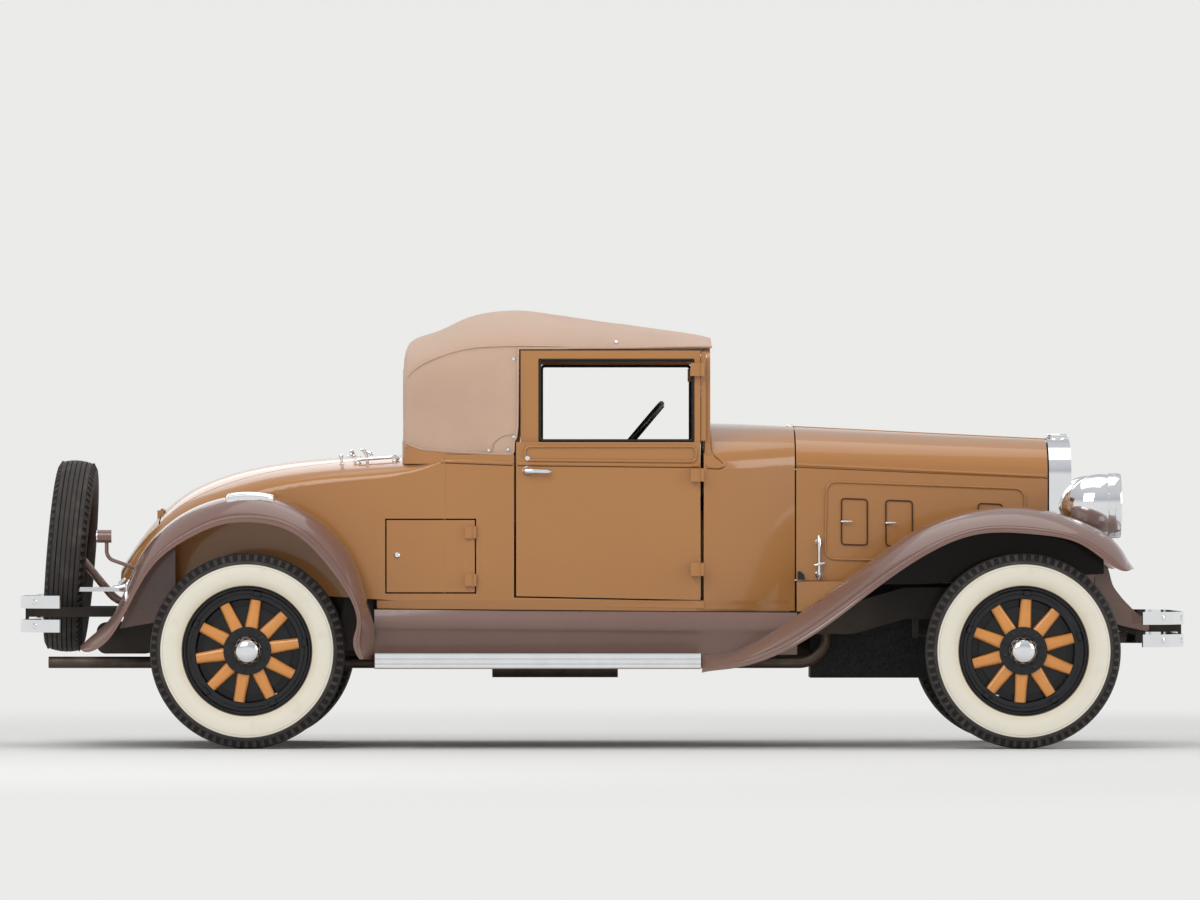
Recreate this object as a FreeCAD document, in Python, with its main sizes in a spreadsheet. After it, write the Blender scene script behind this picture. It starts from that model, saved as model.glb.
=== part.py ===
import FreeCAD, Part
import Sketcher
import math
import os
import re

# A two-door coupe of the late 1920s with a cloth top, a rumble seat and wooden-spoked wheels.
# Millimetres. +X runs forward, +Y to the car's left, +Z up, with the origin on the ground
# under the middle of the car. The driving sizes are in the sheet, and every piece reads them.

doc = FreeCAD.newDocument("coupe")
sheet = doc.addObject("Spreadsheet::Sheet", "sizes")

DRIVING_SIZES = [
    ("wheelbase", 3175, "rear axle to front axle"),
    ("front_overhang", 679, "front axle to the face of the front bumper"),
    ("rear_overhang", 940, "rear axle to the face of the rear bumpers"),
    ("track", 1435, "between the middle planes of two wheels on one axle"),
    ("tyre_radius", 400.5, "to the crown of the tread"),
    ("tyre_width", 165, "over the sidewalls"),
    ("tread_half", 62, "half the width of the tread"),
    ("shoulder_drop", 9, "fall of the tread from crown to shoulder"),
    ("rim_radius", 262, "outside of the rim, where the bead seats"),
    ("rim_half", 55, "half the width of the rim"),
    ("rim_thick", 12, "thickness of the rim"),
    ("felloe_inner", 212, "inside of the felloe, where a spoke ends"),
    ("felloe_half", 26, "half the thickness of the felloe"),
    ("spoke_count", 10, "spokes in a wheel"),
    ("spoke_root", 57, "width of a spoke at the hub"),
    ("spoke_tip", 45, "width of a spoke at the felloe"),
    ("spoke_half", 21, "half the thickness of a spoke along the axle"),
    ("hub_ring", 78, "radius of the boss that the spoke roots form"),
    ("spoke_sink", 8, "how far a spoke's root runs into the boss"),
    ("hub_bore", 30.05, "radius of the bore that turns on the spindle"),
    ("bore_clear", 2, "gap between a spindle's end and the bottom of its bore"),
    ("hub_barrel", 44, "radius of the hub's barrel"),
    ("flange_radius", 98, "radius of the flange clamped on the spokes"),
    ("flange_thick", 8, "thickness of a hub flange"),
    ("cap_radius", 55, "radius of the hub cap"),
    ("cap_flat", 18, "radius of the flat on the hub cap"),
    ("cap_reach", 56, "how far the cap stands out of the flange"),
    ("drum_radius", 180, "outside of the brake drum"),
    ("drum_width", 44, "width of the brake drum"),
    ("drum_wall", 8, "wall of the brake drum"),
    ("spindle_radius", 30, "radius of the spindle in the hub"),
    ("spindle_reach", 26, "how far the spindle passes the wheel's middle plane"),
    ("kingpin_offset", 600, "from the middle of the car to a kingpin"),
    ("kingpin_radius", 14, "radius of a kingpin"),
    ("pin_gap", 1, "gap at the open joints of the steering"),
    ("kingpin_clear", 0.05, "running clearance round a pin"),
    ("yoke_half", 62, "half the height of the knuckle's yoke"),
    ("eye_half", 40, "half the height of the axle's eye"),
    ("eye_radius", 30, "radius of the axle's eye"),
    ("knuckle_web", 14, "thickness of the knuckle's web"),
    ("plate_thick", 4, "thickness of a brake's backing plate"),
    ("arm_thick", 16, "depth of a steering arm"),
    ("arm_width", 28, "width of a steering arm"),
    ("ball_radius", 9, "radius of a steering arm's pin"),
    ("arm_length", 170, "from kingpin back to the tie rod's pin"),
    ("arm_drop", 92, "from the axle's centre down to the tie rod"),
    ("tie_rod_radius", 11, "radius of the tie rod"),
    ("axle_tube_radius", 30, "radius of the tubular front axle"),
    ("axle_drop", 30, "how far the front axle bows below the wheel centres"),
    ("rear_tube_radius", 42, "radius of the rear axle's tubes"),
    ("diff_radius", 150, "radius of the differential housing"),
    ("rail_height", 130, "depth of a chassis rail"),
    ("rail_width", 60, "width of a chassis rail"),
    ("rail_wall", 8, "wall of the channel that forms a rail"),
    ("rail_offset", 400, "middle of the car to a rail's outside"),
    ("rail_top", 596, "top of the rails under the doors"),
    ("rail_rear_reach", 500, "rear axle to the rear end of a rail"),
    ("rail_front_reach", 480, "front axle to the front end of a rail"),
    ("member_radius", 32, "radius of a cross member"),
    ("rail_kick", 62, "how far the rails rise over the axles"),
    ("spring_half", 430, "half the length of a spring"),
    ("spring_camber", 22, "how far a spring's ends lie above its middle"),
    ("spring_eye", 14, "radius of a spring's eye"),
    ("engine_gap", 70, "hood's rear edge to the engine"),
    ("engine_front", 60, "front axle back to the front of the engine"),
    ("engine_half", 170, "half the width of the engine"),
    ("engine_low", 282, "underside of the engine's pan"),
    ("engine_top", 1060, "top of the engine"),
    ("shaft_radius", 45, "radius of the propeller shaft's tube"),
    ("exhaust_offset", 300, "middle of the car to the exhaust pipe"),
    ("exhaust_height", 348, "height of the exhaust pipe"),
    ("exhaust_lead", 60, "engine's rear face to the exhaust's down pipe"),
    ("exhaust_hoop", 300, "rear axle to where the exhaust starts its hoop"),
    ("exhaust_clear", 12, "gap between the exhaust and the rear axle"),
    ("silencer_radius", 62, "radius of the silencer"),
    ("silencer_length", 520, "length of the silencer"),
    ("silencer_front", 60, "middle of the car to the silencer's front"),
    ("tail_pipe_inset", 100, "rear bumpers to the end of the tail pipe"),
    ("pipe_bore", 20, "radius of the tail pipe's bore"),
    ("pipe_mouth", 60, "depth of the tail pipe's bore"),
    ("tank_reach", 400, "rear axle to the fuel tank"),
    ("tank_length", 240, "length of the fuel tank"),
    ("tank_half", 330, "half the width of the fuel tank"),
    ("tank_low", 384, "underside of the fuel tank"),
    ("pan_clear", 40, "gap between the tie rod and the engine"),
    ("spring_width", 50, "width of a leaf spring"),
    ("leaf_thick", 9, "thickness of one leaf"),
    ("leaf_count", 5, "leaves in each half of a spring"),
    ("sheet_wall", 10, "wall of a fender or hood panel"),
    ("body_wall", 32, "wall of the body and thickness of a door"),
    ("panel_gap", 6, "gap round a door or lid"),
    ("swing_gap", 9, "gap behind a door's rear edge, which swings back a little as it opens"),
    ("seat_gap", 0.3, "gap between pieces that rest on each other"),
    ("cowl_rear", 412, "middle of the car to the windshield's foot"),
    ("cowl_length", 378, "windshield's foot to the hood"),
    ("cowl_half_front", 428, "half the width of the body at the hood"),
    ("body_half", 652, "half the width of the body at the doors"),
    ("belt_height", 1165, "height of the belt moulding"),
    ("sill_height", 1256, "height of the window sill"),
    ("cowl_crown", 1342, "height of the cowl at the windshield"),
    ("hood_crown_rear", 1328, "height of the hood at the cowl"),
    ("hood_crown_front", 1275, "height of the hood at the radiator"),
    ("hood_hinge_rear", 1160, "height of the hood's side hinge at the cowl"),
    ("hood_hinge_front", 1113, "height of the hood's side hinge at the radiator"),
    ("hood_barrel", 5, "radius of the hood's side hinges"),
    ("hood_rod", 4, "radius of the rod that the hood's halves turn on"),
    ("hood_low", 688, "height of the hood's lower edge"),
    ("hood_half_front", 288, "half the width of the hood at the radiator"),
    ("radiator_reach", 129, "front axle to the back of the radiator shell"),
    ("radiator_depth", 92, "depth of the radiator shell"),
    ("core_recess", 12, "how far the core lies behind the shell's face"),
    ("firewall", 12, "thickness of the firewall"),
    ("radiator_low", 600, "height of the radiator's foot"),
    ("radiator_frame", 42, "width of the shell's face round the core"),
    ("door_rear", 358, "middle of the car to a door's rear edge"),
    ("door_front", 398, "middle of the car to a door's front edge"),
    ("door_low", 624, "height of a door's lower edge"),
    ("door_top", 1632, "height of a door's window frame"),
    ("window_rear", 267, "middle of the car to the window's rear edge"),
    ("window_front", 374, "middle of the car to the window's front edge"),
    ("window_top", 1599, "height of the window's upper edge"),
    ("door_slope", 16, "fall of a door's lower edge towards the front"),
    ("frame_thick", 30, "thickness of a door's window frame"),
    ("frame_sink", 20, "how far the window frame runs into the door"),
    ("door_hinge", 54, "length of a hinge barrel on a door"),
    ("hinge_strap", 40, "how far a hinge's strap lies on the door"),
    ("frame_half", 634, "middle of the car to the outside of a window frame"),
    ("frame_rear", 340, "middle of the car to a window frame's rear edge"),
    ("hinge_stand", 16, "how far a door's hinge line stands outside the body"),
    ("hinge_barrel", 8, "radius of a hinge barrel"),
    ("lid_ear", 30, "length of a hinge ear beside the rumble lid's barrel"),
    ("top_wall", 18, "thickness of the padded cloth top"),
    ("top_rear", 826, "middle of the car to the top's rear face"),
    ("top_front", 446, "middle of the car to the top's front edge"),
    ("top_peak", 1814, "height of the top"),
    ("cabin_rear", 648, "middle of the car to the wall behind the seat"),
    ("top_side_low", 1206, "height of the cloth's lower edge at the quarter"),
    ("deck_height", 1198, "height of the rear deck"),
    ("lid_front", 1010, "middle of the car to the rumble lid's front edge"),
    ("lid_rear", 1830, "middle of the car to the rumble lid's hinge"),
    ("lid_half", 430, "half the width of the rumble lid"),
    ("golf_front", 528, "middle of the car to the side hatch's hinge"),
    ("golf_rear", 890, "middle of the car to the side hatch's free edge"),
    ("golf_low", 640, "height of the side hatch's lower edge"),
    ("golf_high", 936, "height of the side hatch's upper edge"),
    ("hatch_hinge", 50, "length of a hinge barrel on the side hatch"),
    ("board_top", 390, "height of the running boards"),
    ("board_thick", 62, "depth of a running board's edge"),
    ("board_inner", 620, "middle of the car to a running board's inner edge"),
    ("fender_outer", 850, "middle of the car to a fender's outer edge"),
    ("fender_crown", 700, "middle of the car to a fender's crown"),
    ("front_fender_inner", 424, "middle of the car to the front fender's inner edge"),
    ("rear_fender_inner", 602, "middle of the car to the rear fender's inner edge at the running board"),
    ("rear_fender_tail", 460, "middle of the car to the rear fender's inner edge behind the body"),
    ("lamp_offset", 398, "middle of the car to a headlamp"),
    ("lamp_radius", 134, "radius of a headlamp"),
    ("lamp_tip", 14, "radius of the flat at a headlamp's tail"),
    ("lens_bulge", 6, "how far a headlamp's lens stands out of its rim"),
    ("lamp_length", 232, "length of a headlamp"),
    ("lamp_height", 996, "height of a headlamp"),
    ("lamp_back", 47, "how far a headlamp starts behind the radiator's face"),
    ("bar_height", 52, "height of one bumper bar"),
    ("bar_thick", 10, "thickness of a bumper bar"),
    ("bumper_upper", 534, "height of the front bumper's upper bar"),
    ("bumper_lower", 442, "height of the front bumper's lower bar"),
    ("bumper_half", 800, "half the width of the front bumper"),
    ("spare_height", 788, "height of the spare wheel's centre"),
    ("spare_reach", 765, "rear axle to the spare wheel's centre"),
    ("spare_tilt", 4.5, "lean of the spare wheel in degrees"),
    ("wheel_rim_radius", 212, "radius of the steering wheel"),
    ("wheel_rim_tube", 13, "radius of the steering wheel's rim"),
    ("column_angle", 40, "slope of the steering column in degrees"),
    ("driver_offset", 340, "middle of the car to the steering column"),
    ("wheel_height", 1266, "height of the steering wheel's centre"),
    ("wheel_place", 108, "middle of the car to the steering wheel's centre"),
    ("pipe_radius", 24, "radius of the exhaust pipe"),
    ("column_radius", 22, "radius of the steering column"),
    ("column_pin", 12, "radius of the shaft in the steering wheel's hub"),
    ("wheel_hub", 32, "radius of the steering wheel's hub"),
    ("wheel_hub_thick", 30, "depth of the steering wheel's hub"),
    ("wheel_spoke", 9, "radius of a steering wheel's spoke"),
    ("seat_half", 560, "half the width of the seat"),
    ("seat_top", 930, "height of the seat"),
    ("seat_front", 20, "middle of the car to the seat's front edge"),
    ("cushion", 130, "thickness of the seat cushion"),
    ("rumble_seat_top", 820, "height of the rumble seat"),
    ("floor_thick", 18, "thickness of the floor"),
    ("dash_place", 330, "middle of the car to the dashboard"),
    ("dash_low", 1120, "height of the dashboard's lower edge"),
    ("dash_thick", 14, "thickness of the dashboard"),
    ("windshield_half", 612, "half the width of the windshield"),
    ("windshield_thick", 22, "thickness of the windshield's frame"),
    ("windshield_rail", 32, "width of the windshield's frame"),
    ("windshield_sill", 1376, "height of the windshield's glass above its lower rail"),
    ("glass_thick", 5, "thickness of a pane"),
    ("rear_window_half", 270, "half the width of the rear window"),
    ("rear_window_low", 1400, "height of the rear window's sill"),
    ("rear_window_high", 1560, "height of the rear window's upper edge"),
    ("carrier_hub", 90, "radius of the spare carrier's plate"),
    ("carrier_arm", 44, "width of a spare carrier's arm"),
    ("carrier_thick", 12, "thickness of a spare carrier's arm"),
    ("carrier_tube", 15, "radius of the tubes that hold the spare's carrier"),
    ("carrier_bolts", 140, "pitch circle of the carrier plate's holes"),
    ("carrier_hole", 8, "radius of a hole in the carrier plate"),
    ("bracket_width", 46, "width of a bumper bracket"),
    ("bracket_high", 40, "depth of a bumper bracket"),
    ("bracket_thick", 12, "thickness of a bumper's clamp plate"),
    ("rear_bar_upper", 600, "height of the upper rear bar"),
    ("rear_bar_lower", 502, "height of the lower rear bar"),
    ("rear_bar_inner", 260, "middle of the car to a rear bar's inner end"),
    ("rear_bar_outer", 770, "middle of the car to a rear bar's outer end"),
    ("bar_curl", 190, "how far a bumper's end curls back"),
    ("tail_lamp_radius", 27, "radius of the tail lamp"),
    ("tail_lamp_length", 58, "length of the tail lamp"),
    ("tail_lamp_offset", 450, "middle of the car to the tail lamp"),
    ("tail_lamp_height", 870, "height of the tail lamp"),
    ("tail_lamp_reach", 572, "rear axle to the tail lamp's front"),
    ("lamp_bar_radius", 12, "radius of the bar between the front fenders"),
    ("lamp_post", 10, "radius of a headlamp's post"),
]

for row, (alias, value, note) in enumerate(DRIVING_SIZES, start=1):
    sheet.set(f"A{row}", note)
    sheet.set(f"B{row}", str(value))
    sheet.setAlias(f"B{row}", alias)
doc.recompute()

ALIASES = {alias for alias, _, _ in DRIVING_SIZES}
v = {alias: float(sheet.get(alias)) for alias in ALIASES}

# Places that follow from the driving sizes, once as numbers and once as formulas of the sheet.
REAR_AXLE = "(rear_overhang - front_overhang - wheelbase) / 2"
FRONT_AXLE = "(rear_overhang - front_overhang + wheelbase) / 2"
rear_axle = (v["rear_overhang"] - v["front_overhang"] - v["wheelbase"]) / 2
front_axle = rear_axle + v["wheelbase"]
nose = front_axle + v["front_overhang"]
tail = rear_axle - v["rear_overhang"]
hood_rear = v["cowl_rear"] + v["cowl_length"]
hood_front = front_axle + v["radiator_reach"]
half_track = v["track"] / 2
axle_height = v["tyre_radius"]

V = FreeCAD.Vector
nodes = {}


def cell(formula):
    """Turns the sheet's names in a formula into references to its cells."""
    return re.sub(r"[a-z_]\w*", lambda m: "sizes." + m[0] if m[0] in ALIASES else m[0], str(formula))


def bind(item, **formulas):
    """Ties properties of an object to formulas of the sheet."""
    for name, formula in formulas.items():
        item.setExpression(name.replace("__", "."), cell(formula))
    return item


def place(item, x, y, z, turn=None):
    """Places an object at formulas of the sheet, turned about its own origin."""
    if turn:
        item.Placement = FreeCAD.Placement(V(), turn)
    return bind(item, Placement__Base__x=x, Placement__Base__y=y, Placement__Base__z=z)


def keep(name, item):
    """Makes an object one of the finished pieces, under its own name."""
    item.Label = name
    nodes[name] = item
    return item


def shaped(name, shape):
    """Holds a freely curved shape as an object of the document."""
    item = doc.addObject("Part::Feature", name)
    item.Shape = shape
    return item


def box(name, length, width, height, x, y, z):
    item = doc.addObject("Part::Box", name)
    bind(item, Length=length, Width=width, Height=height)
    return place(item, x, y, z)


def rod(name, radius, length, x, y, z, turn=None):
    item = doc.addObject("Part::Cylinder", name)
    bind(item, Radius=radius, Height=length)
    return place(item, x, y, z, turn)


def fuse(name, items):
    item = doc.addObject("Part::MultiFuse", name)
    item.Shapes = items
    return item


def group(name, items):
    """Holds like pieces that don't touch as one object."""
    item = doc.addObject("Part::Compound", name)
    item.Links = items
    return item


TO_X = FreeCAD.Rotation(V(0, 1, 0), 90)
TO_Y = FreeCAD.Rotation(V(1, 0, 0), -90)
TO_RIGHT = FreeCAD.Rotation(V(1, 0, 0), 90)


def origin_plane(body, role):
    return next(item for item in body.Origin.OriginFeatures if item.Role == role)


def drawn(body, name, plane, corners, arcs=None):
    """Draws a closed outline on a plane of the body, each corner tied to formulas of the sheet.

    arcs maps the number of a side to the formulas of a point that its arc passes through.
    """
    arcs = arcs or {}
    sketch = body.newObject("Sketcher::SketchObject", name)
    sketch.AttachmentSupport = [(origin_plane(body, plane), "")]
    sketch.MapMode = "FlatFace"
    points = [V(solve(x), solve(y), 0) for x, y in corners]
    count = len(points)
    for number, start in enumerate(points):
        end = points[(number + 1) % count]
        if number in arcs:
            middle = V(solve(arcs[number][0]), solve(arcs[number][1]), 0)
            sketch.addGeometry(Part.Arc(start, middle, end))
        else:
            sketch.addGeometry(Part.LineSegment(start, end))
    ends = [vertex_of(sketch, number, point) for number, point in enumerate(points)]
    for number, corner in enumerate(corners):
        after = (number + 1) % count
        sketch.addConstraint(Sketcher.Constraint("Coincident", number, 3 - ends[number], after, ends[after]))
        tie_point(sketch, number, ends[number], corner)
    for number, middle in arcs.items():
        guide = sketch.addGeometry(Part.Point(V(solve(middle[0]), solve(middle[1]), 0)), True)
        tie_point(sketch, guide, 1, middle)
        sketch.addConstraint(Sketcher.Constraint("PointOnObject", guide, 1, number))
    return sketch


def tie_point(sketch, number, end, formulas):
    """Ties one end of a drawn side to two formulas of the sheet."""
    for kind, formula in zip(("DistanceX", "DistanceY"), formulas):
        index = sketch.addConstraint(Sketcher.Constraint(kind, -1, 1, number, end, solve(formula)))
        sketch.setExpression(f"Constraints[{index}]", cell(formula))


def solve(formula):
    """The value of a formula of the sheet."""
    text = re.sub(r"[a-z_]\w*", lambda m: repr(v[m[0]]) if m[0] in ALIASES else m[0], str(formula))
    return float(FreeCAD.Units.Quantity(text).Value)


def vertex_of(sketch, number, point):
    """Which end of a drawn side lies at a point."""
    return 1 if (sketch.getPoint(number, 1) - point).Length < 1e-4 else 2


def finish(body, name, sketch, kind, **formulas):
    """Adds a feature made from a sketch to a body."""
    feature = body.newObject(f"PartDesign::{kind}", name)
    feature.Profile = sketch
    return bind(feature, **formulas)


def turned_body(name, corners, arcs=None):
    """A body turned about its Z axis from an outline of radius and height."""
    body = doc.addObject("PartDesign::Body", name)
    sketch = drawn(body, name + "_outline", "XZ_Plane", corners, arcs)
    turned = finish(body, name + "_turned", sketch, "Revolution")
    turned.ReferenceAxis = (sketch, ["V_Axis"])
    turned.Angle = 360
    return body


# Wheels: the pieces lie round their own Z axis, whose positive end is the outboard face.

SEAT = "(spoke_half + seat_gap)"
FLANGE = "(spoke_half + seat_gap + flange_thick)"


def make_tyre(name):
    sidewall = "(rim_radius + tyre_radius) / 2"
    shoulder = "tyre_radius - shoulder_drop"
    corners = [("rim_radius", "-rim_half"), ("rim_radius", "rim_half"),
               (shoulder, "tread_half"), (shoulder, "-tread_half")]
    arcs = {1: (sidewall, "tyre_width / 2"), 2: ("tyre_radius", "0"), 3: (sidewall, "-tyre_width / 2")}
    return turned_body(name, corners, arcs)


def make_rim(name):
    inside = "rim_radius - rim_thick"
    outside = "rim_radius - seat_gap"
    corners = [("felloe_inner", "-felloe_half"), ("felloe_inner", "felloe_half"),
               (inside, "felloe_half"), (inside, "rim_half"), (outside, "rim_half"),
               (outside, "-rim_half"), (inside, "-rim_half"), (inside, "-felloe_half")]
    return turned_body(name, corners)


def make_hub(name):
    back = f"-{FLANGE} - drum_wall"
    open_end = f"-{FLANGE} - drum_width"
    bore_end = "spindle_reach + bore_clear"
    inside = "drum_radius - drum_wall"
    dome = f"{FLANGE} + cap_reach"
    corners = [("0", bore_end), ("hub_bore", bore_end), ("hub_bore", back), (inside, back),
               (inside, open_end), ("drum_radius", open_end), ("drum_radius", f"-{FLANGE}"),
               ("flange_radius", f"-{FLANGE}"), ("flange_radius", f"-{SEAT}"),
               ("hub_barrel", f"-{SEAT}"), ("hub_barrel", SEAT), ("flange_radius", SEAT),
               ("flange_radius", FLANGE), ("cap_radius", FLANGE),
               ("cap_radius", f"{FLANGE} + cap_reach / 2"), ("cap_flat", dome), ("0", dome)]
    arcs = {14: ("cap_radius * 0.82", f"{FLANGE} + cap_reach * 0.83")}
    return turned_body(name, corners, arcs)


def make_spokes(name):
    body = doc.addObject("PartDesign::Body", name)
    bore = "hub_barrel + seat_gap"
    boss = drawn(body, name + "_boss_outline", "XZ_Plane",
                 [(bore, "-spoke_half"), ("hub_ring", "-spoke_half"),
                  ("hub_ring", "spoke_half"), (bore, "spoke_half")])
    ring = finish(body, name + "_boss", boss, "Revolution")
    ring.ReferenceAxis = (boss, ["V_Axis"])
    ring.Angle = 360
    tip = "felloe_inner - seat_gap - spoke_tip * spoke_tip / (8 * felloe_inner)"
    root = "hub_ring - spoke_sink"
    spoke = drawn(body, name + "_spoke_outline", "XY_Plane",
                  [("-spoke_root / 2 + spoke_sink", root), ("spoke_root / 2 - spoke_sink", root),
                   ("spoke_tip / 2", tip), ("-spoke_tip / 2", tip)])
    pad = finish(body, name + "_spoke", spoke, "Pad", Length="2 * spoke_half")
    pad.Midplane = True
    around = body.newObject("PartDesign::PolarPattern", name + "_around")
    around.Originals = [pad]
    around.Axis = (next(item for item in body.Origin.OriginFeatures if item.Role == "Z_Axis"), [""])
    around.Angle = 360
    bind(around, Occurrences="spoke_count")
    body.Tip = around
    return body


def put_wheel(item, x, side, phase=0):
    """Stands a wheel's piece on its axle, outboard face outward. phase turns it in its plane."""
    turn = (TO_Y if side > 0 else TO_RIGHT) * FreeCAD.Rotation(V(0, 0, 1), phase)
    return place(item, x, f"{side} * track / 2", "tyre_radius", turn)


FRONT_PHASE = -3.5
REAR_PHASE = -9.5
for end, place_x, phase in (("front", FRONT_AXLE, FRONT_PHASE), ("rear", REAR_AXLE, REAR_PHASE)):
    for hand, side in (("left", 1), ("right", -1)):
        spot = f"{end}_{hand}"
        keep(f"tyre_{spot}", put_wheel(make_tyre(f"tyre_{spot}"), place_x, side))
        rim = put_wheel(make_rim(f"rim_{spot}"), place_x, side)
        hub = put_wheel(make_hub(f"hub_{spot}"), place_x, side)
        keep(f"rim_and_hub_{spot}", group(f"metal_{spot}", [rim, hub]))
        keep(f"spokes_{spot}", put_wheel(make_spokes(f"spokes_{spot}"), place_x, side, phase))

SPARE_X = f"{REAR_AXLE} - spare_reach"
SPARE_TURN = FreeCAD.Rotation(V(0, 1, 0), v["spare_tilt"] - 90)
keep("spare_tyre", place(make_tyre("spare_tyre"), SPARE_X, 0, "spare_height", SPARE_TURN))
keep("spare_rim", place(make_rim("spare_rim"), SPARE_X, 0, "spare_height", SPARE_TURN))


# Front axle with its kingpins, the knuckles and the tie rod

def make_front_axle():
    low = axle_height - v["axle_drop"]
    bend = v["kingpin_offset"] - 2 * v["eye_radius"]
    inner = bend - 3 * v["axle_drop"]
    route = [V(front_axle, -v["kingpin_offset"], axle_height), V(front_axle, -bend, axle_height),
             V(front_axle, -inner, low), V(front_axle, inner, low),
             V(front_axle, bend, axle_height), V(front_axle, v["kingpin_offset"], axle_height)]
    beam = pipe(route, v["axle_tube_radius"], v["axle_tube_radius"])
    for side in (1, -1):
        foot = V(front_axle, side * v["kingpin_offset"], axle_height)
        eye = Part.makeCylinder(v["eye_radius"], 2 * v["eye_half"], foot - V(0, 0, v["eye_half"]))
        pin = Part.makeCylinder(v["kingpin_radius"], 2 * v["yoke_half"], foot - V(0, 0, v["yoke_half"]))
        beam = beam.fuse([eye, pin])
    return beam.removeSplitter()


def pipe(route, radius, bend_radius):
    """A round bar along straight runs joined by tangent arcs."""
    edges = []
    start = route[0]
    for before, corner, after in zip(route, route[1:], route[2:]):
        into = (corner - before).normalize()
        out = (after - corner).normalize()
        turn = math.acos(max(-1, min(1, into.dot(out))))
        reach = min(bend_radius * math.tan(turn / 2) * 2,
                    0.45 * min((corner - before).Length, (after - corner).Length))
        first = corner - into * reach
        last = corner + out * reach
        arc_radius = reach / math.tan(turn / 2)
        middle = corner + (out - into).normalize() * (arc_radius / math.cos(turn / 2) - arc_radius)
        edges.append(Part.LineSegment(start, first).toShape())
        edges.append(Part.Arc(first, middle, last).toShape())
        start = last
    edges.append(Part.LineSegment(start, route[-1]).toShape())
    path = Part.Wire(edges)
    heading = (route[1] - route[0]).normalize()
    ring = Part.Wire([Part.makeCircle(radius, route[0], heading)])
    return path.makePipeShell([ring], True, True)


keep("front_axle", shaped("front_axle", make_front_axle()))


def make_knuckle(side):
    """Yoke round the axle's eye, spindle, backing plate and steering arm."""
    pivot = V(front_axle, side * v["kingpin_offset"], axle_height)
    web_start = v["eye_radius"] + v["panel_gap"]
    web_end = web_start + v["knuckle_web"]
    gap = v["pin_gap"]
    arm_thick = v["yoke_half"] - v["eye_half"] - gap
    width = 2 * v["eye_radius"]
    solids = []
    for low in (v["eye_half"] + gap, -v["yoke_half"]):
        solids.append(Part.makeCylinder(v["eye_radius"], arm_thick, V(0, 0, low)))
        solids.append(Part.makeBox(width, web_end, arm_thick, V(-v["eye_radius"], 0, low)))
    solids.append(Part.makeBox(width, v["knuckle_web"], 2 * v["yoke_half"],
                               V(-v["eye_radius"], web_start, -v["yoke_half"])))
    reach = half_track + v["spindle_reach"] - v["kingpin_offset"]
    solids.append(Part.makeCylinder(v["spindle_radius"], reach - web_start, V(0, web_start, 0), V(0, 1, 0)))
    solids.append(Part.makeCylinder(v["drum_radius"] - v["drum_wall"] - v["panel_gap"], v["plate_thick"],
                                    V(0, web_end, 0), V(0, 1, 0)))
    arm_low = -v["yoke_half"] - v["arm_thick"]
    solids.append(Part.makeBox(v["arm_length"], v["arm_width"], v["arm_thick"],
                               V(-v["arm_length"], -v["arm_width"] / 2, arm_low)))
    solids.append(Part.makeCylinder(v["arm_width"] / 2, v["arm_thick"], V(-v["arm_length"], 0, arm_low)))
    solids.append(Part.makeCylinder(v["eye_radius"], v["arm_thick"], V(0, 0, arm_low)))
    solids.append(Part.makeCylinder(v["ball_radius"], v["arm_drop"] + v["tie_rod_radius"] + arm_low,
                                    V(-v["arm_length"], 0, -v["arm_drop"] - v["tie_rod_radius"])))
    shape = solids[0].fuse(solids[1:])
    bore = Part.makeCylinder(v["kingpin_radius"] + v["kingpin_clear"], 4 * v["yoke_half"],
                             V(0, 0, -2 * v["yoke_half"]))
    shape = shape.cut(bore).removeSplitter()
    if side < 0:
        shape = shape.mirror(V(), V(0, 1, 0))
    return shape.translated(pivot)


keep("knuckle_left", shaped("knuckle_left", make_knuckle(1)))
keep("knuckle_right", shaped("knuckle_right", make_knuckle(-1)))


def make_tie_rod():
    """Rod between the steering arms: a close eye on the left, an open one on the right."""
    height = axle_height - v["arm_drop"]
    place_x = front_axle - v["arm_length"]
    length = 2 * v["kingpin_offset"]
    rod_shape = Part.makeCylinder(v["tie_rod_radius"], length,
                                  V(place_x, -v["kingpin_offset"], height), V(0, 1, 0))
    eyes = [Part.makeCylinder(v["ball_radius"] + v["tie_rod_radius"], 2 * v["tie_rod_radius"],
                              V(place_x, side * v["kingpin_offset"], height - v["tie_rod_radius"]))
            for side in (1, -1)]
    bores = [Part.makeCylinder(v["ball_radius"] + clear, 4 * v["tie_rod_radius"],
                               V(place_x, side * v["kingpin_offset"], height - 2 * v["tie_rod_radius"]))
             for side, clear in ((1, v["kingpin_clear"]), (-1, v["pin_gap"]))]
    return rod_shape.fuse(eyes).cut(bores[0]).cut(bores[1])


keep("tie_rod", shaped("tie_rod", make_tie_rod()))


# Rear axle, chassis, springs and what hangs under the floor

def make_rear_axle():
    reach = half_track + v["spindle_reach"]
    tube_end = half_track - v["spoke_half"] - v["flange_thick"] - v["drum_width"] - v["panel_gap"]
    centre = V(rear_axle, 0, axle_height)
    solids = [Part.makeCylinder(v["spindle_radius"], 2 * reach, centre - V(0, reach, 0), V(0, 1, 0)),
              Part.makeCylinder(v["rear_tube_radius"], 2 * tube_end, centre - V(0, tube_end, 0), V(0, 1, 0)),
              Part.makeSphere(v["diff_radius"], centre)]
    plate_radius = v["drum_radius"] - v["drum_wall"] - v["panel_gap"]
    for side in (1, -1):
        start = centre + V(0, side * (tube_end - v["plate_thick"] + 2 * v["panel_gap"]), 0)
        solids.append(Part.makeCylinder(plate_radius, v["plate_thick"], start, V(0, side, 0)))
        solids.append(Part.makeCylinder(v["rear_tube_radius"], 2 * v["panel_gap"],
                                        centre + V(0, side * tube_end, 0), V(0, side, 0)))
    return solids[0].fuse(solids[1:]).removeSplitter()


keep("rear_axle", shaped("rear_axle", make_rear_axle()))


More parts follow.
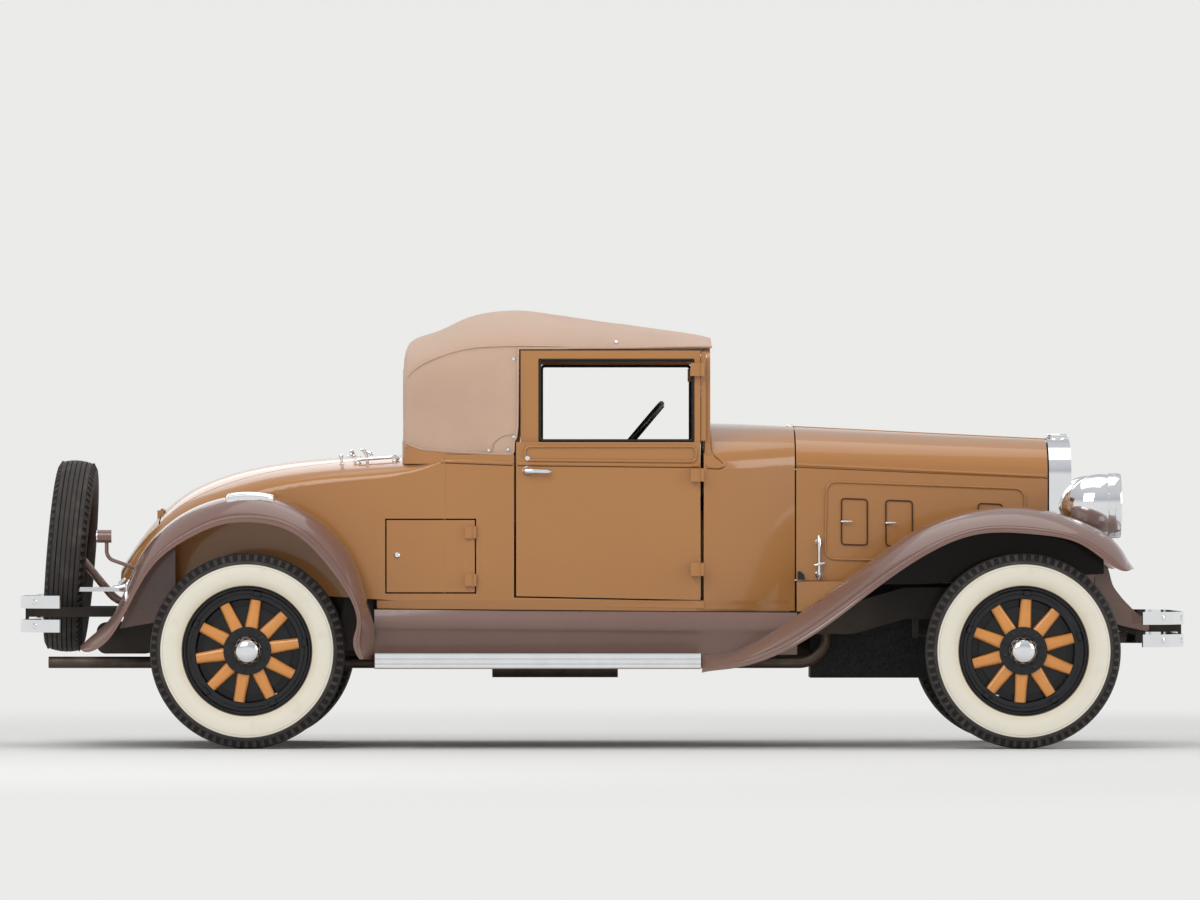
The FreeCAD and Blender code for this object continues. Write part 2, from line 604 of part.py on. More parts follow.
def rail_outline():
    """Side view of a rail: level under the doors, raised over both axles, drooping at the horns."""
    top = v["rail_top"]
    kick = top + v["rail_kick"]
    high = v["rail_height"]
    span = v["spring_half"]
    rear_horn = rear_axle - v["rail_rear_reach"]
    front_horn = front_axle + v["rail_front_reach"]
    upper = [V(rear_horn, 0, top), V(rear_axle - span * 0.6, 0, kick), V(rear_axle + span * 1.1, 0, kick),
             V(rear_axle + span * 1.6, 0, top), V(front_axle - span * 1.6, 0, top),
             V(front_axle - span * 1.1, 0, kick), V(front_axle + span * 0.5, 0, kick),
             V(front_horn, 0, top - high * 0.55)]
    lower = [V(point.x, 0, point.z - high) for point in reversed(upper)]
    lower[0] = V(front_horn, 0, top - high)
    lower[-1] = V(rear_horn, 0, top - high * 0.6)
    return upper + lower


def make_chassis():
    corners = rail_outline()
    face = Part.Face(Part.makePolygon(corners + corners[:1]))
    solids = []
    outside = v["rail_offset"]
    for side in (1, -1):
        rail = face.extrude(V(0, -v["rail_width"], 0)).translated(V(0, outside, 0))
        wall = v["rail_wall"]
        inner = Part.Face(Part.makePolygon(corners + corners[:1]).makeOffset2D(-wall))
        slot = inner.extrude(V(0, -v["rail_width"], 0)).translated(V(0, outside - wall, 0))
        rail = rail.cut(slot)
        if side < 0:
            rail = rail.mirror(V(), V(0, 1, 0))
        solids.append(rail)
    half = outside - v["rail_wall"] / 2
    for number, (place_x, _) in enumerate(cross_members()):
        start = V(place_x, -half, member_height(number))
        solids.append(Part.makeCylinder(v["member_radius"], 2 * half, start, V(0, 1, 0)))
    return solids[0].fuse(solids[1:]).removeSplitter()


def cross_members():
    """Where the tubular cross members lie along the car, and how far above the rails' middle."""
    kick = v["rail_kick"]
    middle = v["rail_top"] - v["rail_height"] / 2
    radiator_seat = v["radiator_low"] - v["seat_gap"] - v["member_radius"]
    return [(rear_axle - v["rail_rear_reach"] * 0.93, kick * 0.25),
            (rear_axle + 2 * v["diff_radius"], kick * 0.6),
            (-v["door_rear"], 0), (v["cowl_rear"], 0),
            (hood_front + v["radiator_depth"] / 2, radiator_seat - middle),
            (front_axle + v["rail_front_reach"] * 0.75, 0)]


def member_height(number):
    """Height of the middle of a cross member."""
    return v["rail_top"] - v["rail_height"] / 2 + cross_members()[number][1]


chassis = make_chassis()


def rail_underside(place_x):
    """Height of the rails' lower edge at a place along the car."""
    corners = rail_outline()
    lower = corners[len(corners) // 2:]
    for ahead, behind in zip(lower, lower[1:]):
        if behind.x <= place_x <= ahead.x:
            share = (place_x - behind.x) / (ahead.x - behind.x)
            return behind.z + share * (ahead.z - behind.z)
    return lower[0].z


def spring_leaves():
    """Leaves of falling length nested on one shallow arc, the longest on top, all clamped at the middle."""
    span = v["spring_half"]
    thick = v["leaf_thick"]
    count = int(v["leaf_count"])
    radius = (span * span + v["spring_camber"] ** 2) / (2 * v["spring_camber"])
    solids = []
    for leaf in range(count):
        reach = span * (1 - 0.17 * leaf)
        inside = radius + leaf * thick
        outside = inside + thick
        angle = math.asin(reach / radius)
        points = [V(r * math.sin(a), 0, radius + count * thick - r * math.cos(a))
                  for r, a in ((inside, -angle), (inside, angle), (outside, angle), (outside, -angle))]
        middles = [V(0, 0, radius + count * thick - r) for r in (inside, outside)]
        wire = Part.Wire([Part.Arc(points[0], middles[0], points[1]).toShape(),
                          Part.LineSegment(points[1], points[2]).toShape(),
                          Part.Arc(points[2], middles[1], points[3]).toShape(),
                          Part.LineSegment(points[3], points[0]).toShape()])
        solids.append(Part.Face(wire).extrude(V(0, v["spring_width"], 0)))
    return solids


def make_springs():
    """A pack of leaves on each end of each axle, with a shackle from each eye up to the rail."""
    inner = v["rail_offset"] - v["rail_width"] / 2 - v["spring_width"] / 2
    width = v["spring_width"]
    eye = v["spring_eye"]
    springs = []
    for axle, seat in ((front_axle, axle_height - v["axle_drop"] + v["axle_tube_radius"]),
                       (rear_axle, axle_height + v["rear_tube_radius"])):
        low = seat + v["seat_gap"]
        eye_height = low + (v["leaf_count"] - 0.5) * v["leaf_thick"] + v["spring_camber"]
        solids = [leaf.translated(V(axle, inner, low)) for leaf in spring_leaves()]
        for end in (axle - v["spring_half"], axle + v["spring_half"]):
            solids.append(Part.makeCylinder(eye, width, V(end, inner, eye_height), V(0, 1, 0)))
            rail_low = min(rail_underside(end + reach) for reach in (-eye, 0, eye))
            top = rail_low - v["seat_gap"]
            solids.append(block(end - eye, end + eye, inner, inner + width, eye_height, top))
        spring = solids[0].fuse(solids[1:]).removeSplitter()
        springs += [spring, spring.mirror(V(), V(0, 1, 0))]
    return Part.makeCompound(springs)


def block(x0, x1, y0, y1, z0, z1):
    """Plain block between two places on each axis."""
    return Part.makeBox(x1 - x0, y1 - y0, z1 - z0, V(x0, y0, z0))


keep("leaf_springs", shaped("leaf_springs", make_springs()))

ENGINE_REAR = "cowl_rear + cowl_length + engine_gap"
PAN_FRONT = f"{FRONT_AXLE} - arm_length - pan_clear"
PAN_TOP = "tyre_radius - arm_drop + tie_rod_radius + pan_clear"
keep("engine", fuse("engine_block", [
    box("engine_box", f"{FRONT_AXLE} - engine_front - ({ENGINE_REAR})", "2 * engine_half",
        f"engine_top - ({PAN_TOP})", ENGINE_REAR, "-engine_half", PAN_TOP),
    box("engine_pan", f"{PAN_FRONT} - ({ENGINE_REAR})", "2 * engine_half",
        f"{PAN_TOP} - engine_low", ENGINE_REAR, "-engine_half", "engine_low")]))


def make_exhaust():
    """Pipe from the engine's side, silencer and tail pipe."""
    radius = v["pipe_radius"]
    side = -v["exhaust_offset"]
    level = v["exhaust_height"]
    engine_rear = hood_rear + v["engine_gap"]
    rise = v["engine_low"] + (v["engine_top"] - v["engine_low"]) * 0.4
    down = engine_rear + v["exhaust_lead"]
    end_x = tail + v["tail_pipe_inset"]
    axle_rise = axle_height + v["rear_tube_radius"] + radius + v["exhaust_clear"]
    front_run = [V(down, -v["engine_half"] - v["seat_gap"], rise), V(down, side, rise),
                 V(down, side, level), V(v["silencer_front"], side, level)]
    rear_run = [V(v["silencer_front"] - v["silencer_length"], side, level),
                V(rear_axle + v["exhaust_hoop"], side, level),
                V(rear_axle + v["exhaust_hoop"] * 0.35, side, axle_rise),
                V(rear_axle - v["exhaust_hoop"] * 0.35, side, axle_rise),
                V(rear_axle - v["exhaust_hoop"], side, level), V(end_x, side, level)]
    silencer = Part.makeCylinder(v["silencer_radius"], v["silencer_length"],
                                 V(v["silencer_front"] - v["silencer_length"], side, level), V(1, 0, 0))
    solid = pipe(front_run, radius, 3 * radius).fuse([pipe(rear_run, radius, 3 * radius), silencer])
    bore = Part.makeCylinder(v["pipe_bore"], v["pipe_mouth"], V(end_x, side, level), V(1, 0, 0))
    return solid.cut(bore).removeSplitter()


keep("exhaust_pipe", shaped("exhaust_pipe", make_exhaust()))


def make_tank():
    """Tank hung under the rear cross member."""
    front = rear_axle - v["tank_reach"]
    top = member_height(0) - v["member_radius"] - v["seat_gap"]
    tank = block(front - v["tank_length"], front, -v["tank_half"], v["tank_half"], v["tank_low"], top)
    return tank.makeFillet((top - v["tank_low"]) * 0.3, [edge for edge in tank.Edges if along(edge, 1)])


def along(edge, axis):
    """Whether a straight edge runs along one of the three axes."""
    ends = edge.Vertexes
    if len(ends) != 2:
        return False
    span = ends[1].Point - ends[0].Point
    return all(abs(span[other]) < 1e-6 for other in range(3) if other != axis)


keep("fuel_tank", shaped("fuel_tank", make_tank()))

SHAFT_START = f"{REAR_AXLE} + diff_radius + seat_gap"
shaft = rod("propeller_tube", "shaft_radius", f"({ENGINE_REAR}) - ({SHAFT_START})", SHAFT_START, 0,
            "tyre_radius", TO_X)
keep("propeller_shaft", shaft)


# Body: one family of cross sections runs from the tail to the radiator

def section(x, low, half_low, side, half_side, crown):
    """Closed outline across the car: foot, straight sides and a crowned top."""
    rise = crown - side
    shoulder = side + 0.6 * rise
    peak = side + 1.3 * rise
    inset = half_side * 0.22
    poles = [V(x, -half_side, side), V(x, -half_side, shoulder), V(x, -half_side + inset, peak),
             V(x, half_side - inset, peak), V(x, half_side, shoulder), V(x, half_side, side)]
    curve = Part.BezierCurve()
    curve.setPoles(poles)
    edges = [Part.LineSegment(V(x, -half_low, low), V(x, -half_side, side)).toShape(), curve.toShape(),
             Part.LineSegment(V(x, half_side, side), V(x, half_low, low)).toShape(),
             Part.LineSegment(V(x, half_low, low), V(x, -half_low, low)).toShape()]
    return Part.Wire(edges)


def skin(stations, inset=0):
    """Solid through a list of stations, each given as for a section, drawn in by an inset."""
    wires = [section(x, low + inset, half_low - inset, side - inset * 0.5, half_side - inset, crown - inset)
             for x, low, half_low, side, half_side, crown in stations]
    return Part.makeLoft(wires, True, False)


def tail_stations():
    """Tail, rear deck and the cloth top's base: place, foot height and half width, shoulder, crown."""
    half = v["body_half"]
    deck = v["deck_height"]
    return [(rear_axle - 540, 640, 290, 690, 320, deck - 446),
            (rear_axle - 470, 640, 420, 770, 440, deck - 342),
            (rear_axle - 360, 640, 486, 870, 504, deck - 212),
            (rear_axle - 180, 640, 530, 960, 548, deck - 98),
            (rear_axle + 60, 636, 562, 1040, 584, deck - 32),
            (rear_axle + 350, 622, 590, 1090, 618, deck + 1),
            (-v["cabin_rear"], 598, half - 20, deck - 14, half - 3, deck + 6)]


def cabin_stations():
    """Quarter panels and doors, up to the window sill."""
    half = v["body_half"]
    sill = v["sill_height"]
    return [(-v["cabin_rear"], 598, half - 20, sill, half - 3, sill + 40),
            (0, 582, half - 20, sill, half + 3, sill + 40),
            (v["cowl_rear"], 573, half - 26, sill, half - 12, sill + 40)]


def hollowed(stations, inset):
    """The stations' hollow, open below, drawn in by an inset."""
    return skin([(x, 500, half_low, side, half, crown)
                 for x, _, half_low, side, half, crown in stations], inset)


tail_outer = skin(tail_stations())
cabin_outer = skin(cabin_stations())
tail_inner = hollowed(tail_stations()[1:], v["body_wall"])
cabin_inner = hollowed(cabin_stations(), v["body_wall"])


def side_prism(points, y0, y1):
    """Outline in the side view, run across the car."""
    corners = [V(x, y0, z) for x, z in points]
    return Part.Face(Part.makePolygon(corners + corners[:1])).extrude(V(0, y1 - y0, 0))


FAR = 2000
door_outline = [(-v["door_rear"], v["door_low"]), (v["door_front"], v["door_low"] - v["door_slope"]),
                (v["door_front"], v["sill_height"]), (-v["door_rear"], v["sill_height"])]
quarter_top = v["top_side_low"] - v["seat_gap"]
quarter_cut = block(-v["cabin_rear"], v["cowl_rear"] + 1, -FAR, FAR, quarter_top, FAR)
cabin_half = v["body_half"] - 2 * v["body_wall"]
cabin_top = block(-v["cabin_rear"], v["cowl_rear"] + 1, -cabin_half, cabin_half, v["deck_height"] - 90, FAR)


def grown(points, gap):
    """An outline of four corners moved outward by a gap."""
    middle_x = sum(x for x, _ in points) / len(points)
    middle_z = sum(z for _, z in points) / len(points)
    return [(x + math.copysign(gap, x - middle_x), z + math.copysign(gap, z - middle_z)) for x, z in points]


lid_outline = [(-v["lid_rear"], -v["lid_half"]), (-v["lid_front"], -v["lid_half"]),
               (-v["lid_front"], v["lid_half"]), (-v["lid_rear"], v["lid_half"])]


def lid_prism(gap):
    corners = [V(x, y, v["golf_low"]) for x, y in grown(lid_outline, gap)]
    face = Part.Face(Part.makePolygon(corners + corners[:1]))
    return face.extrude(V(0, 0, FAR))


golf_outline = [(-v["golf_rear"], v["golf_low"]), (-v["golf_front"], v["golf_low"]),
                (-v["golf_front"], v["golf_high"]), (-v["golf_rear"], v["golf_high"])]

tail_wall = tail_outer.cut(tail_inner)
cabin_wall = cabin_outer.cut(cabin_inner)
door_gap_low = v["door_low"] - v["panel_gap"]
doors_gap = side_prism([(-v["door_rear"] - v["swing_gap"], door_gap_low),
                        (v["cowl_rear"] + 1, door_gap_low - v["door_slope"]), (v["cowl_rear"] + 1, FAR),
                        (-v["door_rear"] - v["swing_gap"], FAR)], -FAR, FAR)
golf_gap = side_prism(grown(golf_outline, v["panel_gap"]), -FAR, 0)
shell = tail_wall.cut([lid_prism(v["panel_gap"]), golf_gap])
shell = shell.fuse(cabin_wall.cut([doors_gap, quarter_cut, cabin_top, golf_gap]))
bulkhead = block(-v["cabin_rear"] - v["firewall"], -v["cabin_rear"], -v["body_half"], v["body_half"],
                 v["rail_top"] + v["floor_thick"], v["deck_height"] - v["body_wall"] / 2).common(tail_inner)


def lid_hinge_height():
    """Height of the deck's skin over the lid's hinge line."""
    probe = Part.makeLine(V(-v["lid_rear"], 0, 0), V(-v["lid_rear"], 0, FAR))
    return probe.common(tail_outer).BoundBox.ZMax + v["hinge_barrel"] * 0.5


def lid_ears():
    """Hinge ears on the deck, one beyond each end of the lid's barrel."""
    radius = v["hinge_barrel"]
    ears = []
    for side in (1, -1):
        start = V(-v["lid_rear"], side * (v["lid_half"] / 2 + v["seat_gap"]), lid_hinge_height())
        ears.append(Part.makeCylinder(radius, v["lid_ear"], start, V(0, side, 0)))
        low_y = min(start.y, start.y + side * v["lid_ear"])
        ears.append(block(start.x - 2.5 * radius, start.x - 1, low_y, low_y + v["lid_ear"],
                          start.z - 5 * radius, start.z))
    return ears


shell = shell.fuse([bulkhead] + lid_ears()).removeSplitter()
keep("body_shell", shaped("body_shell", shell))
tail_clear = skin(tail_stations(), -v["seat_gap"])
body_clear = [tail_clear, skin(cabin_stations(), -v["seat_gap"])]


def tail_side(place_x, height, otherwise):
    """How far out the body's skin lies at a place, or another value where there is no body."""
    probe = Part.makeLine(V(place_x, 0, height), V(place_x, FAR, height)).common(tail_outer)
    return probe.BoundBox.YMax if probe.Edges else otherwise


def make_lid():
    lid = tail_wall.common(lid_prism(0))
    room = v["hinge_barrel"] + v["seat_gap"]
    lid = lid.cut(Part.makeCylinder(room, 2 * v["lid_half"], V(-v["lid_rear"], -v["lid_half"],
                                                               lid_hinge_height()), V(0, 1, 0)))
    start = V(-v["lid_rear"], -v["lid_half"] / 2, lid_hinge_height())
    barrel = Part.makeCylinder(v["hinge_barrel"], v["lid_half"], start, V(0, 1, 0))
    leaf = block(start.x, start.x + 2.5 * v["hinge_barrel"], start.y, start.y + v["lid_half"],
                 start.z - 2 * v["hinge_barrel"], start.z)
    return lid.fuse([barrel, leaf]).removeSplitter()


keep("rumble_lid", shaped("rumble_lid", make_lid()))


def golf_hinge_side():
    """How far out the side hatch's hinge line lies."""
    probe = Part.makeLine(V(-v["golf_front"], 0, v["golf_high"]), V(-v["golf_front"], FAR, v["golf_high"]))
    return probe.common(cabin_outer).BoundBox.YMax + v["hinge_barrel"]


def make_golf_door():
    door = tail_wall.fuse(cabin_wall).common(side_prism(golf_outline, -FAR, 0))
    length = v["hatch_hinge"]
    side = golf_hinge_side()
    for low in (v["golf_low"] + length * 0.5, v["golf_high"] - length * 1.5):
        barrel = Part.makeCylinder(v["hinge_barrel"], length, V(-v["golf_front"], -side, low))
        strap = block(-v["golf_front"] - v["hinge_strap"], -v["golf_front"], -side - 2,
                      -side + v["body_wall"] * 0.8, low, low + length)
        door = door.fuse([barrel, strap])
    return door.removeSplitter()


keep("golf_door", shaped("golf_door", make_golf_door()))


def make_door(side):
    """Door panel from the body's own skin, with the window frame that rises from it."""
    panel = cabin_wall.common(side_prism(door_outline, 0, FAR))
    panel = panel.cut(block(-FAR, FAR, -FAR, cabin_half, 0, FAR))
    frame_outline = [(-v["frame_rear"], v["sill_height"] - v["frame_sink"]),
                     (v["door_front"], v["sill_height"] - v["frame_sink"]),
                     (v["door_front"], v["door_top"]), (-v["frame_rear"], v["door_top"])]
    window = [(-v["window_rear"], v["sill_height"]), (v["window_front"], v["sill_height"]),
              (v["window_front"], v["window_top"]), (-v["window_rear"], v["window_top"])]
    inside = v["frame_half"] - v["frame_thick"]
    frame = side_prism(frame_outline, inside, v["frame_half"]).cut(side_prism(window, 0, FAR))
    door = panel.fuse(frame)
    for height in door_hinge_heights():
        strap = block(v["door_front"] - v["hinge_strap"], v["door_front"] + v["hinge_barrel"] - 1,
                      v["frame_half"] - v["frame_thick"] + 4, door_hinge_side(), height - v["door_hinge"] / 2,
                      height + v["door_hinge"] / 2)
        barrel = Part.makeCylinder(v["hinge_barrel"], v["door_hinge"],
                                   V(door_hinge_place(), door_hinge_side(), height - v["door_hinge"] / 2))
        door = door.fuse([strap, barrel])
    door = door.removeSplitter()
    return door if side > 0 else door.mirror(V(), V(0, 1, 0))


def door_hinge_place():
    return v["door_front"] + v["hinge_barrel"]


def door_hinge_side():
    return v["body_half"] + v["hinge_stand"]


def door_hinge_heights():
    return (v["door_low"] + 110, v["belt_height"] - 44, v["door_top"] - 78)


keep("door_left", shaped("door_left", make_door(1)))
keep("door_right", shaped("door_right", make_door(-1)))

cowl_stations = [(v["cowl_rear"] + v["seat_gap"], 570, v["body_half"] - 38, v["belt_height"] - 25,
                  v["body_half"] - 12, v["cowl_crown"]),
                 (v["cowl_rear"] + v["cowl_length"] * 0.5, 566, (v["body_half"] + v["cowl_half_front"]) / 2 - 8,
                  v["belt_height"] - 14, (v["body_half"] + v["cowl_half_front"]) / 2 + 10,
                  (v["cowl_crown"] + v["hood_crown_rear"]) / 2 + 2),
                 (hood_rear, 562, v["cowl_half_front"] - 8, v["hood_hinge_rear"], v["cowl_half_front"],
                  v["hood_crown_rear"])]
cowl_outer = skin(cowl_stations)
cowl_clear = skin(cowl_stations, -v["seat_gap"])
cowl_inner = skin([(x + (1 if place_x else -1), 500, low_half, side, half, crown)
                   for place_x, (x, _, low_half, side, half, crown) in enumerate(cowl_stations)],
                  v["sheet_wall"] * 2)
cowl_inner_back = block(v["cowl_rear"] - 1, hood_rear - v["firewall"], -FAR, FAR, 0, FAR)
firewall = cowl_outer.common(block(hood_rear - v["firewall"], hood_rear + 1, -FAR, FAR,
                                   v["rail_top"] + v["floor_thick"] + 1, FAR))
cowl = cowl_outer.cut(cowl_inner.common(cowl_inner_back)).cut(
    block(hood_rear - v["firewall"] - 1, hood_rear + 1, -v["rail_offset"] - 4, v["rail_offset"] + 4, 0,
          v["rail_top"] + v["floor_thick"] + 1))
cowl = cowl.fuse(firewall).removeSplitter()
keep("cowl", shaped("cowl", cowl))

hood_stations = [(hood_rear + v["panel_gap"], v["hood_low"], v["cowl_half_front"] - 8,
                  v["hood_hinge_rear"], v["cowl_half_front"] - 2, v["hood_crown_rear"] - 1),
                 (hood_front - v["panel_gap"], v["hood_low"] - 20, v["hood_half_front"] - 6,
                  v["hood_hinge_front"], v["hood_half_front"], v["hood_crown_front"])]
hood_solid = skin(hood_stations)
wall = v["sheet_wall"]
hood_hollow = skin([(x + shift, low - 100, half_low, side, half, crown)
                    for shift, (x, low, half_low, side, half, crown) in zip((-1, 1), hood_stations)], wall)
hood_shell = hood_solid.cut(hood_hollow)


def hinge_slab(above):
    """Everything above or below the hood's side hinge line."""
    rear = V(hood_rear - 10, -FAR, v["hood_hinge_rear"])
    front = V(hood_front + 10, -FAR, v["hood_hinge_front"])
    shift = V(0, 0, v["hood_barrel"] - 1 if above else -v["hood_barrel"] - 1)
    height = V(0, 0, FAR if above else -FAR)
    corners = [rear + shift, front + shift, front + height, rear + height]
    return Part.Face(Part.makePolygon(corners + corners[:1])).extrude(V(0, 2 * FAR, 0))


def hood_hinge_ends():
    """Ends of the left side hinge's line, in the middle of the sheet."""
    (rear_x, _, _, rear_z, rear_half, _), (front_x, _, _, front_z, front_half, _) = hood_stations
    return V(rear_x, rear_half - wall / 2, rear_z), V(front_x, front_half - wall / 2, front_z)


def hood_rod(radius, gap):
    """Rod along the hood's crown, between the cowl and the radiator."""
    (rear_x, _, _, _, _, rear_z), (front_x, _, _, _, _, front_z) = hood_stations
    line = V(front_x - rear_x, 0, front_z - rear_z)
    slope = line.z / line.x
    start = V(hood_rear + gap, 0, rear_z - (rear_x - hood_rear - gap) * slope)
    length = (hood_front - hood_rear - 2 * gap) * math.hypot(1, slope)
    return Part.makeCylinder(radius, length, start, line)


end_gap = v["seat_gap"] + v["hood_rod"] * 0.1
keep("hood_hinge", shaped("hood_hinge", hood_rod(v["hood_rod"], end_gap)))


def make_hood_top(side):
    half = block(0, FAR * 2, v["panel_gap"] / 2, FAR, 0, FAR)
    leaf = hood_shell.common(hinge_slab(True)).common(half)
    leaf = leaf.cut(hood_rod(v["hood_rod"] + v["seat_gap"], 0))
    rear, front = hood_hinge_ends()
    leaf = leaf.fuse(Part.makeCylinder(v["hood_barrel"], (front - rear).Length, rear, front - rear))
    return leaf if side > 0 else leaf.mirror(V(), V(0, 1, 0))


def make_hood_side(side):
    half = block(0, FAR * 2, v["panel_gap"] / 2, FAR, 0, FAR)
    panel = hood_shell.common(hinge_slab(False)).common(half)
    return panel if side > 0 else panel.mirror(V(), V(0, 1, 0))


for hand, side in (("left", 1), ("right", -1)):
    keep(f"hood_top_{hand}", shaped(f"hood_top_{hand}", make_hood_top(side)))
    keep(f"hood_side_{hand}", shaped(f"hood_side_{hand}", make_hood_side(side)))


# Radiator, floor, seats, windshield and top

def make_radiator():
    low_half = v["hood_half_front"] - 6
    back = section(hood_front, v["radiator_low"], low_half, v["hood_hinge_front"], v["hood_half_front"] + 4,
                   v["hood_crown_front"] + 6)
    frame = v["radiator_frame"]
    hole = section(hood_front, v["radiator_low"] + frame, low_half - frame, v["hood_hinge_front"] - 10,
                   v["hood_half_front"] - frame, v["hood_crown_front"] - frame * 1.6)
    depth = V(v["radiator_depth"], 0, 0)
    ring = Part.Face(back).extrude(depth).cut(Part.Face(hole).extrude(depth))
    gap = v["seat_gap"]
    inside = section(hood_front, v["radiator_low"] + frame + gap, low_half - frame - gap,
                     v["hood_hinge_front"] - 10, v["hood_half_front"] - frame - gap,
                     v["hood_crown_front"] - frame * 1.6 - gap)
    core = Part.Face(inside).extrude(V(v["radiator_depth"] - v["core_recess"], 0, 0))
    return ring, core


radiator_ring, radiator_core = make_radiator()
keep("radiator_shell", shaped("radiator_shell", radiator_ring))
keep("radiator_core", shaped("radiator_core", radiator_core))

near = v["body_wall"] + v["seat_gap"]
cabin_room = hollowed(cabin_stations(), near)
tail_room = hollowed(tail_stations()[1:], near)
cowl_room = skin([(x - v["seat_gap"], 500, half_low, side, half, crown)
                  for x, _, half_low, side, half, crown in cowl_stations], 2 * wall + v["seat_gap"])
floor_front = block(-v["cabin_rear"] + v["seat_gap"], hood_rear - v["firewall"] - v["seat_gap"], -FAR, FAR,
                    v["rail_top"] + v["seat_gap"], v["rail_top"] + v["floor_thick"])
rear_level = v["rail_top"] + v["rail_kick"] + v["seat_gap"]
floor_rear = block(rear_axle - 430, -v["cabin_rear"] - v["firewall"] - v["seat_gap"], -FAR, FAR,
                   rear_level, rear_level + v["floor_thick"])
floor_front = floor_front.common(cabin_room).fuse(floor_front.common(cowl_room)).removeSplitter()
keep("floor", shaped("floor", Part.makeCompound([floor_front, floor_rear.common(tail_room)])))


def make_seats():
    floor_top = v["rail_top"] + v["floor_thick"] + v["seat_gap"]
    half = v["seat_half"]
    back = -v["cabin_rear"] + v["seat_gap"]
    front = v["seat_front"]
    low = v["seat_top"] - v["cushion"]
    riser = block(back + 4, front - 50, -half, half, floor_top, low - v["seat_gap"])
    cushion = block(back + 150, front, -half, half, low, v["seat_top"])
    rest = side_prism([(back, low), (back + 148, low), (back + 120, v["sill_height"] - 16),
                       (back, v["sill_height"] - 16)], -half, half).cut(block(-FAR, FAR, -FAR, FAR, 0, low))
    rumble_half = half - 90
    rumble_floor = rear_level + v["floor_thick"] + v["seat_gap"]
    rumble = block(rear_axle - 60, rear_axle + 340, -rumble_half, rumble_half, rumble_floor,
                   v["rumble_seat_top"])
    rounded = [solid.makeFillet(v["cushion"] * 0.25, [edge for edge in solid.Edges if edge.BoundBox.ZMin >
                                                       solid.BoundBox.ZMax - 1 and along(edge, 1)])
               for solid in (cushion, rumble)]
    return riser, Part.makeCompound(rounded + [rest])


riser, cushions = make_seats()
keep("seat_riser", shaped("seat_riser", riser))
keep("seat_cushions", shaped("seat_cushions", cushions))


def top_stations():
    """Cloth top from its rear face over the bows to the windshield."""
    low = v["top_side_low"] - 10
    rear = -v["top_rear"]
    peak = v["top_peak"]
    half = v["body_half"] - 2
    return [(rear, low, half - 88, peak - 344, half - 110, peak - 190),
            (rear + 24, low, half - 45, peak - 314, half - 62, peak - 132),
            (rear + 103, low, half - 16, peak - 274, half - 30, peak - 96),
            (rear + 240, low, half - 3, peak - 234, half - 14, peak - 36),
            (rear + 495, low, half, peak - 209, half - 10, peak),
            (rear + 864, low, half, peak - 209, half - 12, peak - 50),
            (v["top_front"], low, half - 6, peak - 224, half - 22, peak - 114)]


top_outer = skin(top_stations())
stations = top_stations()
hollow_stations = [(stations[0][0] + v["top_wall"],) + tuple(
    (a + b) / 2 for a, b in zip(stations[0][1:], stations[1][1:]))]
hollow_stations += [(x + (v["top_wall"] if x < stations[3][0] else 0), *rest) for x, *rest in stations[1:-1]]
hollow_stations.append((v["top_front"] + 1, *stations[-1][1:]))
top_inner = skin([(x, 900, *rest) for x, _, *rest in hollow_stations], v["top_wall"])


def make_top():
    edge = -v["frame_rear"] - v["swing_gap"]
    corner = v["sill_height"] + v["panel_gap"]
    top = v["door_top"] + v["panel_gap"]
    opening = side_prism([(-v["door_rear"] - v["swing_gap"], 0), (-v["door_rear"] - v["swing_gap"], corner),
                          (edge, corner), (edge, top), (FAR, top), (FAR, 0)], -FAR, FAR)
    window = block(-FAR, -v["door_rear"] - 100, -v["rear_window_half"], v["rear_window_half"],
                   v["rear_window_low"], v["rear_window_high"])
    foot = block(-FAR, FAR, -FAR, FAR, 0, v["top_side_low"])
    return top_outer.cut([top_inner, opening, window, foot, tail_clear])


keep("soft_top", shaped("soft_top", make_top()))


def make_windshield():
    front = v["cowl_rear"] + v["windshield_thick"] + 5
    back = v["cowl_rear"] + 5
    half = v["windshield_half"]
    plate = block(back, front, -half, half, v["belt_height"], FAR)
    limit = skin([(x, 900, *rest) for x, _, *rest in hollow_stations], v["top_wall"] + v["seat_gap"])
    plate = plate.common(limit).cut(cowl_clear)
    lean_top = v["top_peak"] - 114 - v["top_wall"] - 2.2 * v["windshield_rail"]
    opening = block(back - 1, front + 1, -half + v["windshield_rail"], half - v["windshield_rail"],
                    v["windshield_sill"], lean_top)
    pane_middle = (back + front - v["glass_thick"]) / 2
    gap = v["seat_gap"]
    pane = block(pane_middle, pane_middle + v["glass_thick"], -half + v["windshield_rail"] + gap,
                 half - v["windshield_rail"] - gap, v["windshield_sill"] + gap, lean_top - gap)
    rear = block(-v["top_rear"] + 5, -v["top_rear"] + 5 + v["glass_thick"], -v["rear_window_half"] + gap,
                 v["rear_window_half"] - gap, v["rear_window_low"] + gap, v["rear_window_high"] - gap)
    return plate.cut(opening), Part.makeCompound([pane, rear])


windshield, panes = make_windshield()
keep("windshield_frame", shaped("windshield_frame", windshield))
keep("window_glass", shaped("window_glass", panes))


# Steering column and wheel

column_slope = math.radians(v["column_angle"])
column_line = V(math.cos(column_slope), 0, -math.sin(column_slope))
wheel_centre = V(v["wheel_place"], v["driver_offset"], v["wheel_height"])


